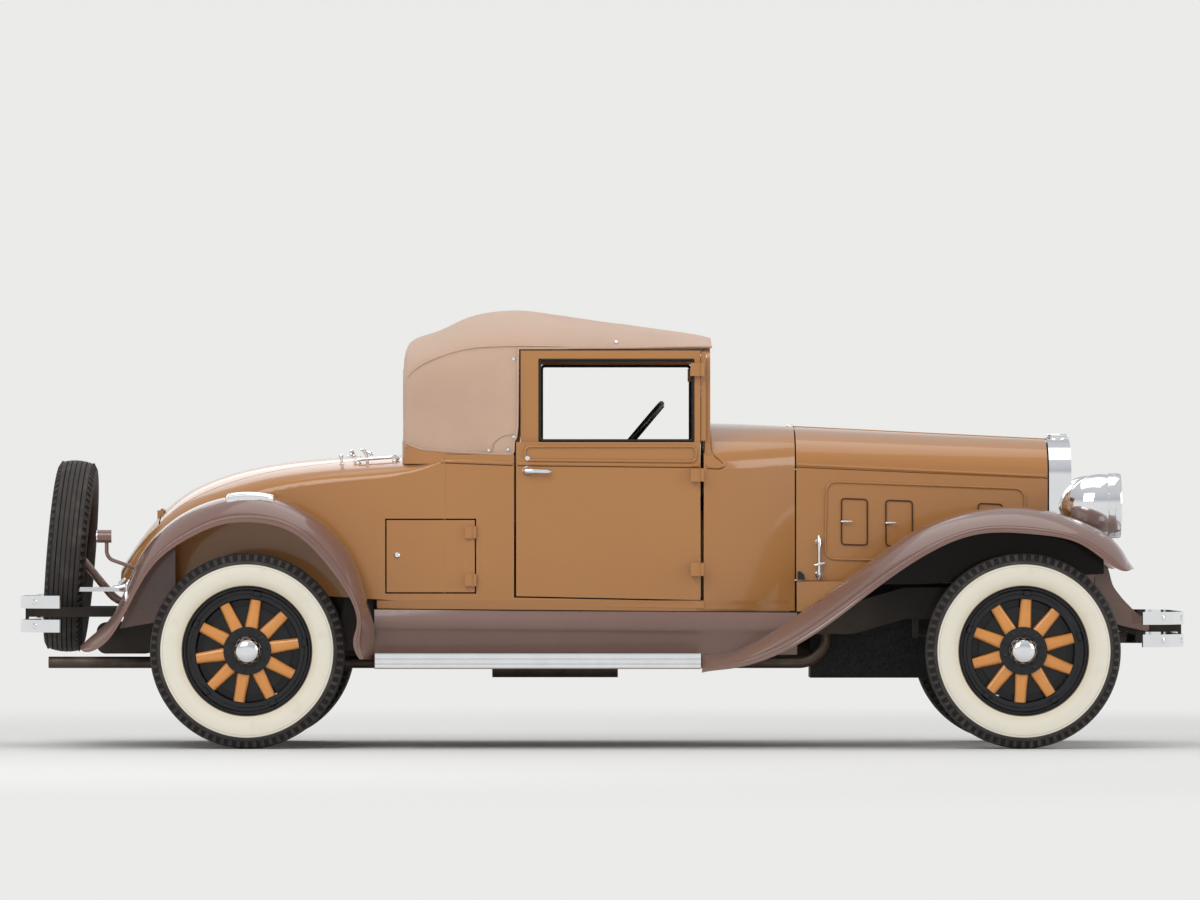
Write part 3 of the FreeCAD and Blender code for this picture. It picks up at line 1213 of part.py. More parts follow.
def make_column():
    start = wheel_centre + column_line * (v["wheel_hub_thick"] + 5)
    reach = (hood_rear - v["firewall"] - v["seat_gap"] - start.x) / column_line.x - v["column_radius"]
    tube = Part.makeCylinder(v["column_radius"], reach, start, column_line)
    pin_start = wheel_centre + column_line * 4
    pin = Part.makeCylinder(v["column_pin"], v["wheel_hub_thick"] + 5, pin_start, column_line)
    dash_half = v["frame_half"] - v["frame_thick"] - v["panel_gap"]
    dash = block(v["dash_place"], v["dash_place"] + v["dash_thick"], -dash_half, dash_half, v["dash_low"],
                 v["cowl_crown"] - 90)
    dash = dash.common(cabin_room)
    bracket = block(v["dash_place"] - 30, v["dash_place"] + v["dash_thick"], v["driver_offset"] - 30,
                    v["driver_offset"] + 30, v["dash_low"] - 50, v["dash_low"] + 30)
    hole = Part.makeCylinder(v["column_radius"] + v["seat_gap"], FAR / 2, start, column_line)
    return tube.fuse(pin), dash.fuse(bracket).cut(hole).removeSplitter()


column, dashboard = make_column()
keep("steering_column", shaped("steering_column", column))
keep("dashboard", shaped("dashboard", dashboard))


def make_steering_wheel():
    rim = Part.makeTorus(v["wheel_rim_radius"], v["wheel_rim_tube"], wheel_centre, column_line)
    hub = Part.makeCylinder(v["wheel_hub"], v["wheel_hub_thick"], wheel_centre, column_line)
    bore = Part.makeCylinder(v["column_pin"] + v["kingpin_clear"], v["wheel_hub_thick"],
                             wheel_centre + column_line * 2, column_line)
    spokes = []
    across = column_line.cross(V(0, 1, 0))
    start = wheel_centre + column_line * v["wheel_spoke"]
    for direction in (V(0, 1, 0), V(0, -1, 0), across, across * -1):
        spokes.append(Part.makeCylinder(v["wheel_spoke"], v["wheel_rim_radius"], start, direction))
    wheel = rim.fuse([hub] + spokes)
    return wheel.cut(bore).removeSplitter()


keep("steering_wheel", shaped("steering_wheel", make_steering_wheel()))


# Fenders, running boards and lamps

def fender_section(crown, lip, inner_y):
    """Curved sheet across a fender at one station, from its inner edge over the crown to the lip."""
    centre_x, centre_z = crown
    lip_x, lip_z = lip
    drop = V(lip_x - centre_x, 0, lip_z - centre_z)
    sink = V(drop).normalize() * v["sheet_wall"]
    outer = V(lip_x, -v["fender_outer"], lip_z)
    middle = V(centre_x, -v["fender_crown"], centre_z)
    share = ((v["fender_crown"] - inner_y) / (v["fender_outer"] - v["fender_crown"])) ** 2
    inner = V(centre_x, -inner_y, centre_z) + drop * min(0.9, 0.22 * share)
    edges = [Part.Arc(outer, middle, inner).toShape(), Part.LineSegment(inner, inner + sink).toShape(),
             Part.Arc(inner + sink, middle + sink, outer + sink).toShape(),
             Part.LineSegment(outer + sink, outer).toShape()]
    return Part.Wire(edges)


REAR_FENDER = [((519, -35), (471, -33)), ((514, 111), (459, 100)), ((426, 382), (367, 320)),
               ((269, 550), (227, 470)), ((102, 623), (96, 527)), ((-86, 626), (-84, 530)),
               ((-253, 565), (-220, 480)), ((-420, 414), (-376, 370)), ((-525, 195), (-500, 165)),
               ((-588, 101), (-576, 45)), ((-687, 17), (-674, 6))]
FRONT_FENDER = [((-1314, -18), (-1316, -78)), ((-1157, 9), (-1186, -61)), ((-922, 146), (-925, 37)),
                ((-661, 336), (-666, 219)), ((-400, 505), (-405, 401)), ((-165, 573), (-180, 488)),
                ((57, 573), (50, 486)), ((254, 518), (235, 445)), ((397, 420), (370, 352)),
                ((457, 336), (434, 332))]
FRONT_INNER_SHARES = [1, 1, 1, 0.72, 0.16, 0, 0, 0, 0, 0]


def make_fender(profile, axle, inner_places):
    wires = [fender_section((axle + crown[0], axle_height + crown[1]), (axle + lip[0], axle_height + lip[1]),
                            inner_y) for (crown, lip), inner_y in zip(profile, inner_places)]
    return Part.makeLoft(wires, True, False)


apron_side = v["board_inner"] + v["sheet_wall"] + v["seat_gap"]
front_inner = [v["front_fender_inner"] + share * (apron_side - v["front_fender_inner"])
               for share in FRONT_INNER_SHARES]


def rear_inner():
    """The rear fender's inner edge: just inside the body's skin, or free before and behind it."""
    places = []
    otherwise = v["rear_fender_inner"]
    for crown, _ in REAR_FENDER:
        side = tail_side(rear_axle + crown[0], axle_height + crown[1], 0)
        if side:
            otherwise = v["rear_fender_tail"]
        places.append(side - v["sheet_wall"] if side else otherwise)
    return places


board_rear = rear_axle + REAR_FENDER[0][0][0]
board_front = front_axle + FRONT_FENDER[0][1][0]


def board_prisms(gap):
    """A running board and the apron between it and the body, grown by a gap."""
    top = v["board_top"]
    low = top - v["board_thick"]
    inner = v["board_inner"]
    step = block(board_rear - gap, board_front + gap, -v["fender_outer"] - gap, -inner + gap,
                 low - gap, top + gap)
    under_door = v["door_low"] - v["door_slope"] - v["swing_gap"]
    apron = block(board_rear - gap, hood_rear + gap, -inner - v["sheet_wall"] - gap, -inner + gap,
                  top, under_door)
    return [step, apron]


board = board_prisms(0)[0].fuse(board_prisms(0)[1].cut(body_clear + [cowl_clear])).removeSplitter()
keep("running_boards", shaped("running_boards", Part.makeCompound([board, board.mirror(V(), V(0, 1, 0))])))

over_board = block(board_rear, board_front, -FAR, FAR, v["board_top"], v["sill_height"])
for name, profile, axle, places in (("front_fenders", FRONT_FENDER, front_axle, front_inner),
                                    ("rear_fenders", REAR_FENDER, rear_axle, rear_inner())):
    fender = make_fender(profile, axle, places).cut(board_prisms(v["seat_gap"]) + body_clear + [cowl_clear])
    if axle < 0:
        fender = fender.cut(over_board)
    fender = max(fender.Solids, key=lambda solid: solid.Volume)
    keep(name, shaped(name, Part.makeCompound([fender, fender.mirror(V(), V(0, 1, 0))])))

LAMP_X = f"{FRONT_AXLE} + radiator_reach + radiator_depth - lamp_back"
lamps = []
for hand, sign in (("left", ""), ("right", "-")):
    widest = "lamp_length * 0.82"
    lamp = turned_body(f"lamp_{hand}", [("0", "0"), ("lamp_tip", "0"), ("lamp_radius - 5", widest),
                                        ("lamp_radius", widest), ("lamp_radius", "lamp_length"),
                                        ("lamp_radius - 9", "lamp_length"),
                                        ("lamp_tip", "lamp_length + lens_bulge"),
                                        ("0", "lamp_length + lens_bulge")],
                       {1: ("lamp_radius * 0.74", "lamp_length * 0.27")})
    lamps.append(place(lamp, LAMP_X, f"{sign}lamp_offset", "lamp_height", TO_X))
keep("headlamps", group("headlamp_pair", lamps))


def make_lamp_bar():
    """Bar between the front fenders with a post under each headlamp."""
    place_x = front_axle + v["radiator_reach"] + v["radiator_depth"] - v["lamp_back"] + v["lamp_length"] * 0.6
    level = v["lamp_height"] - v["lamp_radius"] - 3 * v["lamp_bar_radius"]
    reach = v["front_fender_inner"] - v["seat_gap"]
    solid = Part.makeCylinder(v["lamp_bar_radius"], 2 * reach, V(place_x, -reach, level), V(0, 1, 0))
    for side in (1, -1):
        foot = V(place_x, side * v["lamp_offset"], level)
        solid = solid.fuse(Part.makeCylinder(v["lamp_post"], v["lamp_height"] - level, foot))
    doc.recompute()
    return solid.cut([lamp.Shape.translated(V(0, 0, -v["seat_gap"])) for lamp in lamps])


keep("lamp_bar", shaped("lamp_bar", make_lamp_bar()))


# Bumpers, spare carrier and tail lamp

def bar(route, bend_radius, thick, high):
    """Flat bar on edge along straight runs in plan joined by tangent arcs."""
    edges = []
    start = route[0]
    for before, corner, after in zip(route, route[1:], route[2:]):
        into = (corner - before).normalize()
        out = (after - corner).normalize()
        turn = math.acos(max(-1, min(1, into.dot(out))))
        shorter = min((corner - before).Length, (after - corner).Length)
        reach = min(bend_radius * math.tan(turn / 2), 0.45 * shorter)
        first = corner - into * reach
        last = corner + out * reach
        arc_radius = reach / math.tan(turn / 2)
        middle = corner + (out - into).normalize() * (arc_radius / math.cos(turn / 2) - arc_radius)
        edges.append(Part.LineSegment(start, first).toShape())
        edges.append(Part.Arc(first, middle, last).toShape())
        start = last
    edges.append(Part.LineSegment(start, route[-1]).toShape())
    path = Part.Wire(edges)
    heading = (route[1] - route[0]).normalize()
    across = V(-heading.y, heading.x, 0)
    corners = [route[0] + across * (sx * thick / 2) + V(0, 0, sz * high / 2)
               for sx, sz in ((-1, -1), (1, -1), (1, 1), (-1, 1))]
    profile = Part.makePolygon(corners + corners[:1])
    return path.makePipeShell([profile], True, True)


def make_front_bumper():
    face = nose - v["bar_thick"] / 2
    half = v["bumper_half"]
    curl = v["bar_curl"]
    bars = []
    for level in (v["bumper_upper"], v["bumper_lower"]):
        flat = v["rail_offset"] + v["bracket_width"]
        route = [V(face - curl, -half, level), V(face - curl * 0.45, -half + 45, level),
                 V(face - 12, -half + 220, level), V(face, -flat, level), V(face, flat, level),
                 V(face - 12, half - 220, level), V(face - curl * 0.45, half - 45, level),
                 V(face - curl, half, level)]
        bars.append(bar(route, 300, v["bar_thick"], v["bar_height"]))
    return Part.makeCompound(bars)


keep("front_bumper", shaped("front_bumper", make_front_bumper()))


def make_rear_bumpers():
    face = tail + v["bar_thick"] / 2
    inner = v["rear_bar_inner"]
    outer = v["rear_bar_outer"]
    bars = []
    for side in (1, -1):
        for level in (v["rear_bar_upper"], v["rear_bar_lower"]):
            route = [V(face + 60, side * inner, level), V(face, side * (inner + 40), level),
                     V(face, side * (outer - 160), level), V(face + 60, side * (outer - 40), level),
                     V(face + v["bar_curl"] - 20, side * outer, level)]
            bars.append(bar(route, 160, v["bar_thick"], v["bar_height"]))
    return Part.makeCompound(bars)


keep("rear_bumpers", shaped("rear_bumpers", make_rear_bumpers()))


def make_brackets():
    """Arms from the rails' ends to the bumpers, each with a clamp plate behind its bars."""
    width = v["bracket_width"]
    middle = v["rail_offset"] - width / 2
    high = v["bracket_high"]
    thick = v["bracket_thick"]
    solids = []
    front_end = front_axle + v["rail_front_reach"]
    front_back = nose - v["bar_thick"] - v["seat_gap"]
    front_level = v["rail_top"] - v["rail_height"] * 0.775
    rear_end = rear_axle - v["rail_rear_reach"]
    rear_back = tail + v["bar_thick"] + v["seat_gap"]
    rear_level = v["rail_top"] - v["rail_height"] * 0.3
    for side in (1, -1):
        low_y = side * middle - width / 2
        arm = block(front_end - high, front_back, low_y, low_y + width, front_level - high / 2,
                    front_level + high / 2)
        plate = block(front_back - thick, front_back, low_y, low_y + width,
                      v["bumper_lower"] - v["bar_height"] / 2, v["bumper_upper"] + v["bar_height"] / 2)
        solids.append(arm.fuse(plate).removeSplitter())
        arm = block(rear_back, rear_end + high, low_y, low_y + width, rear_level - high / 2,
                    rear_level + high / 2)
        plate = block(rear_back, rear_back + thick, low_y, low_y + width,
                      v["rear_bar_lower"] - v["bar_height"] / 2, v["rear_bar_upper"] + v["bar_height"] / 2)
        solids.append(arm.fuse(plate).removeSplitter())
    return solids


keep("chassis_frame", shaped("chassis_frame", chassis.fuse(make_brackets()).removeSplitter()))


def make_carrier():
    """Spider that holds the spare's rim, on two arms from the rear cross member."""
    back = -v["felloe_half"] - v["seat_gap"]
    plate = Part.makeCylinder(v["carrier_hub"], v["carrier_thick"], V(0, 0, back - v["carrier_thick"]))
    solids = [plate]
    for number in range(4):
        arm = Part.makeBox(v["felloe_inner"] + v["rim_thick"], v["carrier_arm"], v["carrier_thick"],
                           V(0, -v["carrier_arm"] / 2, back - v["carrier_thick"]))
        arm.rotate(V(), V(0, 0, 1), 45 + 90 * number)
        solids.append(arm)
    spider = solids[0].fuse(solids[1:])
    for number in range(4):
        angle = math.radians(90 * number)
        reach = v["carrier_bolts"] / 2
        start = V(reach * math.cos(angle), reach * math.sin(angle), back - 3 * v["carrier_thick"])
        hole = Part.makeCylinder(v["carrier_hole"], 6 * v["carrier_thick"], start)
        spider = spider.cut(hole)
    spider.Placement = FreeCAD.Placement(V(rear_axle - v["spare_reach"], 0, v["spare_height"]), SPARE_TURN)
    member_x = cross_members()[0][0]
    level = member_height(0) + v["member_radius"] + v["carrier_tube"] + v["seat_gap"]
    front_x = rear_axle - v["spare_reach"] - back + v["carrier_thick"]
    tail_x = tail_stations()[0][0] - 2 * v["carrier_tube"]
    for side in (1, -1):
        y = side * v["carrier_hub"] * 0.55
        route = [V(member_x, y, level), V(tail_x, y, level), V(front_x - 4, y, v["spare_height"])]
        spider = spider.fuse(pipe(route, v["carrier_tube"], 60))
    return spider.removeSplitter()


keep("spare_carrier", shaped("spare_carrier", make_carrier()))


def make_tail_lamp():
    """Lamp on a bent stem that stands on the body's tail."""
    start = V(rear_axle - v["tail_lamp_reach"], -v["tail_lamp_offset"], v["tail_lamp_height"])
    lamp = Part.makeCylinder(v["tail_lamp_radius"], v["tail_lamp_length"], start, V(-1, 0, 0))
    foot_height = start.z - 140
    probe = Part.makeLine(V(-2 * FAR, start.y, foot_height), V(0, start.y, foot_height))
    foot = V(probe.common(tail_outer).BoundBox.XMin - v["seat_gap"], start.y, foot_height)
    route = [start + V(-20, 0, -v["tail_lamp_radius"] + 4), start + V(-20, 0, -90), foot]
    base = Part.makeCylinder(20, 10, foot - V(10, 0, 0), V(1, 0, 0))
    return lamp.fuse([pipe(route, 8, 30), base]).cut(tail_outer)


keep("tail_lamp", shaped("tail_lamp", make_tail_lamp()))

doc.recompute()
for item in doc.Objects:
    if "Invalid" in item.State or "Error" in item.State:
        raise RuntimeError(f"{item.Name} failed: {item.State}")
for name, item in nodes.items():
    if item.Shape.isNull() or not item.Shape.isValid():
        raise RuntimeError(f"{name} has no valid shape")

os.makedirs("parts", exist_ok=True)
for name, item in nodes.items():
    item.Shape.exportStep(f"parts/{name}.step")
print(len(nodes), "pieces written")
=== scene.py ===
import math

import bmesh
import bpy
from mathutils import Matrix, Vector, noise
from mathutils.bvhtree import BVHTree


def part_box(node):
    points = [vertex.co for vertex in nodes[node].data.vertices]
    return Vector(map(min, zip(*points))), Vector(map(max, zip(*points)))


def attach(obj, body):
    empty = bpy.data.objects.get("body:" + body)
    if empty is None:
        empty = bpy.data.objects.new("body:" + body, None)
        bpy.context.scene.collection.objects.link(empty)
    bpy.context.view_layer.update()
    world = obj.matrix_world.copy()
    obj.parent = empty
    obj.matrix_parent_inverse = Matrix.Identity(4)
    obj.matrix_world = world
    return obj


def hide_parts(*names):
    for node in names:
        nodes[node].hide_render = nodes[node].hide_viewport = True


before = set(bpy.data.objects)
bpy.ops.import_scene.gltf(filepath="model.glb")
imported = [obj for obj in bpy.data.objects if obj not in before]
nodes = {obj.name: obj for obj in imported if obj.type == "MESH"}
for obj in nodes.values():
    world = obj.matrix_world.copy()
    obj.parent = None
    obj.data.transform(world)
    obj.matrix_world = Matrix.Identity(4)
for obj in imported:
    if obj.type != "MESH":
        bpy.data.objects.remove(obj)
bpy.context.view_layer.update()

scene = bpy.context.scene


# The studio: a pale floor that fades into a pale backdrop, a soft sky and large lamps, with the camera
# 37 m off the car's right side and a little above the hubs, as the photograph was taken.

def tint(red, green, blue):
    """A colour on the 0 to 255 scale as the share of light that it gives back."""
    return tuple(((c / 255 + 0.055) / 1.055) ** 2.4 for c in (red, green, blue)) + (1.0,)


class Signal:
    """A value that varies over a surface; its operators add the Math nodes that work it out."""

    def __init__(self, finish, socket):
        self.finish, self.socket = finish, socket

    def maths(self, operation, *values):
        return self.finish.node("ShaderNodeMath", {"operation": operation}, dict(enumerate(values)))

    def __add__(self, other):
        return self.maths("ADD", self, other)

    def __sub__(self, other):
        return self.maths("SUBTRACT", self, other)

    def __rsub__(self, other):
        return self.maths("SUBTRACT", other, self)

    def __mul__(self, other):
        return self.maths("MULTIPLY", self, other)

    def wave(self, pitch):
        return self.maths("SINE", self * pitch)

    __radd__ = __add__
    __rmul__ = __mul__


class Finish:
    """A finish made of nodes, on a material or on the world."""

    def __init__(self, holder, shader, numbers):
        holder.use_nodes = True
        self.holder, self.tree = holder, holder.node_tree
        self.shader = self.tree.nodes[shader]
        self.feed(numbers)

    def node(self, kind, settings=None, inputs=None, out=0):
        made = self.tree.nodes.new(kind)
        for key, value in (settings or {}).items():
            setattr(made, key, value)
        self.join(made, inputs or {})
        return Signal(self, made.outputs[out])

    def join(self, made, inputs):
        for key, value in inputs.items():
            if isinstance(value, Signal):
                self.tree.links.new(value.socket, made.inputs[key])
            else:
                made.inputs[key].default_value = value

    def feed(self, inputs):
        self.join(self.shader, inputs)

    def given(self, name, out="Fac"):
        """A value kept on the mesh."""
        return self.node("ShaderNodeAttribute", {"attribute_name": name}, out=out)

    def place(self):
        return self.node("ShaderNodeTexCoord", out="Object")

    def parts(self, where):
        """The three numbers of a point."""
        split = self.node("ShaderNodeSeparateXYZ", None, {0: where}).socket.node
        return [Signal(self, split.outputs[number]) for number in range(3)]

    def stretched(self, where, sizes):
        return self.node("ShaderNodeMapping", None, {"Vector": where, "Scale": sizes})

    def cloud(self, where, scale, detail=3.0):
        return self.node("ShaderNodeTexNoise", None, {"Vector": where, "Scale": scale, "Detail": detail})

    def between(self, low, high, share):
        """A mix of two colours, each given as three plain numbers or as a Signal."""
        low, high = [tint(*colour) if isinstance(colour, tuple) else colour for colour in (low, high)]
        return self.node("ShaderNodeMix", {"data_type": "RGBA"}, {0: share, 6: low, 7: high}, 2)

    def rise(self, share, start, end):
        """0 before start, 1 after end."""
        return self.node("ShaderNodeMapRange", {"interpolation_type": "SMOOTHSTEP"},
                         {0: share, 1: start, 2: end})

    def coated(self, colour, roughness):
        self.feed({"Base Color": colour, "Roughness": roughness})

    def relief(self, height, depth):
        self.feed({"Normal": self.node("ShaderNodeBump", None, {"Height": height, "Distance": depth})})


def finish_named(name, **numbers):
    """A new material; a number's name is its socket's, with _ for a space."""
    known = {key.replace("_", " "): value for key, value in numbers.items()}
    return Finish(bpy.data.materials.new(name), "Principled BSDF", known)


pale = 0.83
backdrop = (pale, pale, pale * 0.985, 1.0)
sky = bpy.data.worlds.new("studio_sky")
scene.world = sky
air = Finish(sky, "Background", {"Color": (1.0, 1.0, 1.0, 1.0), "Strength": 0.64})
path = air.node("ShaderNodeLightPath").socket.node
seen = Signal(air, path.outputs["Is Camera Ray"]) + Signal(air, path.outputs["Is Glossy Ray"])
height = air.parts(air.node("ShaderNodeTexCoord", out="Generated"))[2]
mirrored_sky = air.node("ShaderNodeValToRGB", None, {0: height * 0.5 + 0.5})
sky_stops = ((0.0, (0.5, 0.49, 0.48, 1)), (0.485, backdrop), (0.58, backdrop), (0.69, (0.52, 0.53, 0.55, 1)),
             (0.82, (0.62, 0.63, 0.65, 1)), (1.0, (0.7, 0.71, 0.72, 1)))
ramp = mirrored_sky.socket.node.color_ramp.elements
while len(ramp) < len(sky_stops):
    ramp.new(0.5)
for stop, (position, colour) in zip(ramp, sky_stops):
    stop.position, stop.color = position, colour
shown = air.node("ShaderNodeBackground", None, {"Color": mirrored_sky, "Strength": 1.0})
mixed = air.node("ShaderNodeMixShader", None, {0: seen.maths("MINIMUM", seen, 1.0),
                                               1: Signal(air, air.shader.outputs[0]), 2: shown})
air.tree.links.new(mixed.socket, air.tree.nodes["World Output"].inputs["Surface"])

floor_mesh = bpy.data.meshes.new("studio_floor")
reach = 150.0
floor_mesh.from_pydata([(-reach, -reach, 0), (reach, -reach, 0), (reach, reach, 0), (-reach, reach, 0)], [],
                       [(0, 1, 2, 3)])
studio_floor = bpy.data.objects.new("studio_floor", floor_mesh)
scene.collection.objects.link(studio_floor)
ground = finish_named("floor_paper", Base_Color=(0.74, 0.74, 0.73, 1), Roughness=0.85, Specular_IOR_Level=0.1)
away = ground.node("ShaderNodeVectorMath", {"operation": "LENGTH"}, {0: ground.place()}, "Value")
plain = ground.node("ShaderNodeEmission", None, {"Color": backdrop, "Strength": 1.0})
paper = ground.node("ShaderNodeMixShader", None, {0: ground.rise(away, 3.4, 9.0),
                                                  1: Signal(ground, ground.shader.outputs[0]), 2: plain})
ground.tree.links.new(paper.socket, ground.tree.nodes["Material Output"].inputs["Surface"])
floor_mesh.materials.append(ground.holder)

lamp_aim = Vector((0, 0, 0.8))
for name, spot, watts, size in (("key_lamp", (-3.5, -7.0, 6.0), 290, 5.0),
                                ("top_lamp", (0.5, 1.0, 7.0), 110, 6.0),
                                ("nose_lamp", (7.5, -3.5, 3.5), 120, 3.5),
                                ("far_lamp", (-2.0, 7.5, 5.0), 80, 5.0)):
    lamp = bpy.data.lights.new(name, "AREA")
    lamp.energy, lamp.size = watts, size
    holder = bpy.data.objects.new(name, lamp)
    holder.location = spot
    holder.rotation_euler = (lamp_aim - Vector(spot)).to_track_quat("-Z", "Y").to_euler()
    scene.collection.objects.link(holder)

lens = bpy.data.cameras.new("camera")
lens.sensor_width, lens.lens, lens.clip_end = 36.0, 265.8, 500.0
camera = bpy.data.objects.new("camera", lens)
camera.location = (-0.014, -37.0, 0.834)
camera.rotation_euler = (math.radians(90.614), 0, 0)
scene.collection.objects.link(camera)
scene.camera = camera
scene.view_settings.view_transform = "Standard"


# The frame and the running gear: pressed rails, axles, tank and shaft in one coat of brown-black
# chassis enamel with road dust low down, leaf springs and exhaust in bare steel, and a cast-iron engine.

def dressed(finish, *names):
    """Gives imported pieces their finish."""
    for name in names:
        for holder in nodes[name].material_slots:
            holder.material = finish.holder


def enamel(name, colour, shade, gloss, dusty=0.25, varnish=0.7):
    """Brushed or sprayed enamel under varnish: a little uneven, with dust towards the ground."""
    coat = finish_named(name, Coat_Roughness=0.07, Specular_IOR_Level=varnish / 2)
    where = coat.place()
    drift = coat.cloud(where, 1.7, 2.0)
    fine = coat.cloud(where, 12.0, 2.0)
    low = 1.0 - coat.rise(coat.parts(where)[2], 0.3, 0.72)
    dust = low * coat.cloud(where, 9.0, 5.0) * dusty
    colours = coat.between(colour, shade, drift * 0.7 + fine * 0.06)
    coat.coated(coat.between(colours, (150, 138, 122), dust), gloss + fine * 0.03 + dust * 0.5)
    coat.feed({"Coat Weight": varnish - dust})
    coat.relief(coat.cloud(where, 20.0, 1.0), 0.00004)
    return coat


def mottled(name, colour, shade, rough, uneven, scale, detail=3.0, rough_scale=None, depth=None, **numbers):
    """A finish that wavers between two colours and, with them or at a scale of its own, in roughness."""
    made = finish_named(name, **numbers)
    where = made.place()
    blotch = made.cloud(where, scale, detail)
    dull = made.cloud(where, rough_scale) if rough_scale else blotch
    made.coated(made.between(colour, shade, blotch), rough + dull * uneven)
    if depth:
        made.relief(blotch, depth)
    return made


chassis_enamel = enamel("chassis_enamel", (40, 34, 32), (28, 24, 23), gloss=0.38, dusty=0.3, varnish=0.15)
dressed(chassis_enamel, "chassis_frame", "front_axle", "rear_axle", "knuckle_left", "knuckle_right",
        "tie_rod", "fuel_tank", "propeller_shaft", "steering_column")
bare = {"Metallic": 0.85, "detail": 6.0}
spring_steel = mottled("spring_steel", (70, 66, 63), (38, 35, 34), rough=0.38, uneven=0.2, scale=40.0,
                       depth=0.0003, **bare)
dressed(spring_steel, "leaf_springs")
exhaust_steel = mottled("exhaust_steel", (112, 100, 90), (66, 52, 45), rough=0.42, uneven=0.2, scale=14.0,
                        depth=0.0002, **bare)
dressed(exhaust_steel, "exhaust_pipe")
cast_iron = mottled("cast_iron", (60, 60, 60), (34, 34, 35), rough=0.5, uneven=0.2, scale=90.0, depth=0.0008,
                    **bare)
dressed(cast_iron, "engine")


# Wheels: wooden artillery wheels with ten varnished hickory spokes bolted between black hub flanges, a
# steel felloe and demountable rim held by five wedge lugs, a chromed cap, and balloon tyres with white walls.

def turned(profile, steps=96):
    """A closed outline of radius and height, in millimetres, turned about the Z axis."""
    shape = bmesh.new()
    profile = [(r / 1000, h / 1000) for r, h in profile]
    rings = []
    for step in range(steps):
        angle = math.tau * step / steps
        rings.append([shape.verts.new((r * math.cos(angle), r * math.sin(angle), h)) for r, h in profile])
    for ring, following in zip(rings, rings[1:] + rings[:1]):
        for number in range(len(profile)):
            after = (number + 1) % len(profile)
            if profile[number][0] > 0 or profile[after][0] > 0:
                shape.faces.new((ring[number], ring[after], following[after], following[number]))
    bmesh.ops.remove_doubles(shape, verts=shape.verts, dist=1e-6)
    bmesh.ops.dissolve_degenerate(shape, edges=shape.edges, dist=1e-7)
    bmesh.ops.recalc_face_normals(shape, faces=shape.faces)
    return shape


def walled(rows, ringed=True, looped=False):
    """A skin over rows of points, with its ends closed unless the rows are open or lead round in a loop."""
    shape = bmesh.new()
    rows = [[shape.verts.new(point) for point in row] for row in rows]
    for row, following in zip(rows, rows[1:] + (rows[:1] if looped else [])):
        for number in range(len(row) if ringed else len(row) - 1):
            after = (number + 1) % len(row)
            shape.faces.new((row[number], row[after], following[after], following[number]))
    if ringed and not looped:
        shape.faces.new(rows[0])
        shape.faces.new(rows[-1])
    bmesh.ops.recalc_face_normals(shape, faces=shape.faces)
    return shape


def brick(x0, x1, y0, y1, z0, z1, taper=0.0):
    """A square block whose head is drawn in by taper."""
    return walled([[(x0, y0, z0), (x1, y0, z0), (x1, y1, z0), (x0, y1, z0)],
                   [(x0 + taper, y0 + taper, z1), (x1 - taper, y0 + taper, z1),
                    (x1 - taper, y1 - taper, z1), (x0 + taper, y1 - taper, z1)]])


def mesh_of(name, shape, place=None):
    """The mesh of a shape, which is used up; a shape that is a mesh already is given back."""
    if isinstance(shape, bpy.types.Mesh):
        return shape
    mesh = bpy.data.meshes.new(name)
    if place is not None:
        shape.transform(place)
    shape.to_mesh(mesh)
    shape.free()
    return mesh


def as_built(item):
    """The mesh of an item with its modifiers applied."""
    return bpy.data.meshes.new_from_object(item.evaluated_get(bpy.context.evaluated_depsgraph_get()))


def shown_piece(name, shape, finish, crease=35, body="chassis", place=None):
    """Puts a finished shape in the scene, on the body that carries it."""
    mesh = mesh_of(name, shape, place)
    item = bpy.data.objects.new(name, mesh)
    scene.collection.objects.link(item)
    mesh.materials.clear()
    mesh.materials.append(finish.holder)
    mesh.shade_smooth()
    mesh.set_sharp_from_angle(angle=math.radians(crease))
    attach(item, body)
    return item


repeat = bpy.data.node_groups.new("repeat", "GeometryNodeTree")
for label, kind in (("Shape", "Geometry"), ("Count", "Int"), ("Turn", "Float"), ("Step", "Vector"),
                    ("Finish", "Material"), ("Row", "Geometry")):
    way = "OUTPUT" if label == "Row" else "INPUT"
    repeat.interface.new_socket(label, in_out=way, socket_type=f"NodeSocket{kind}")
given, result, index, travel, points, angle_node, turning, copies, real, coloured = [
    repeat.nodes.new(kind) for kind in (
        "NodeGroupInput", "NodeGroupOutput", "GeometryNodeInputIndex", "ShaderNodeVectorMath",
        "GeometryNodePoints", "ShaderNodeMath", "ShaderNodeCombineXYZ", "GeometryNodeInstanceOnPoints",
        "GeometryNodeRealizeInstances", "GeometryNodeSetMaterial")]
travel.operation, angle_node.operation = "SCALE", "MULTIPLY"
for giver, output, taker, socket in (
        (given, "Step", travel, 0), (index, 0, travel, "Scale"), (given, "Count", points, "Count"),
        (travel, 0, points, "Position"), (given, "Turn", angle_node, 0), (index, 0, angle_node, 1),
        (angle_node, 0, turning, "Z"), (points, 0, copies, "Points"), (given, "Shape", copies, "Instance"),
        (turning, 0, copies, "Rotation"), (copies, 0, real, 0), (real, 0, coloured, "Geometry"),
        (given, "Finish", coloured, "Material"), (coloured, 0, result, 0)):
    repeat.links.new(giver.outputs[output], taker.inputs[socket])


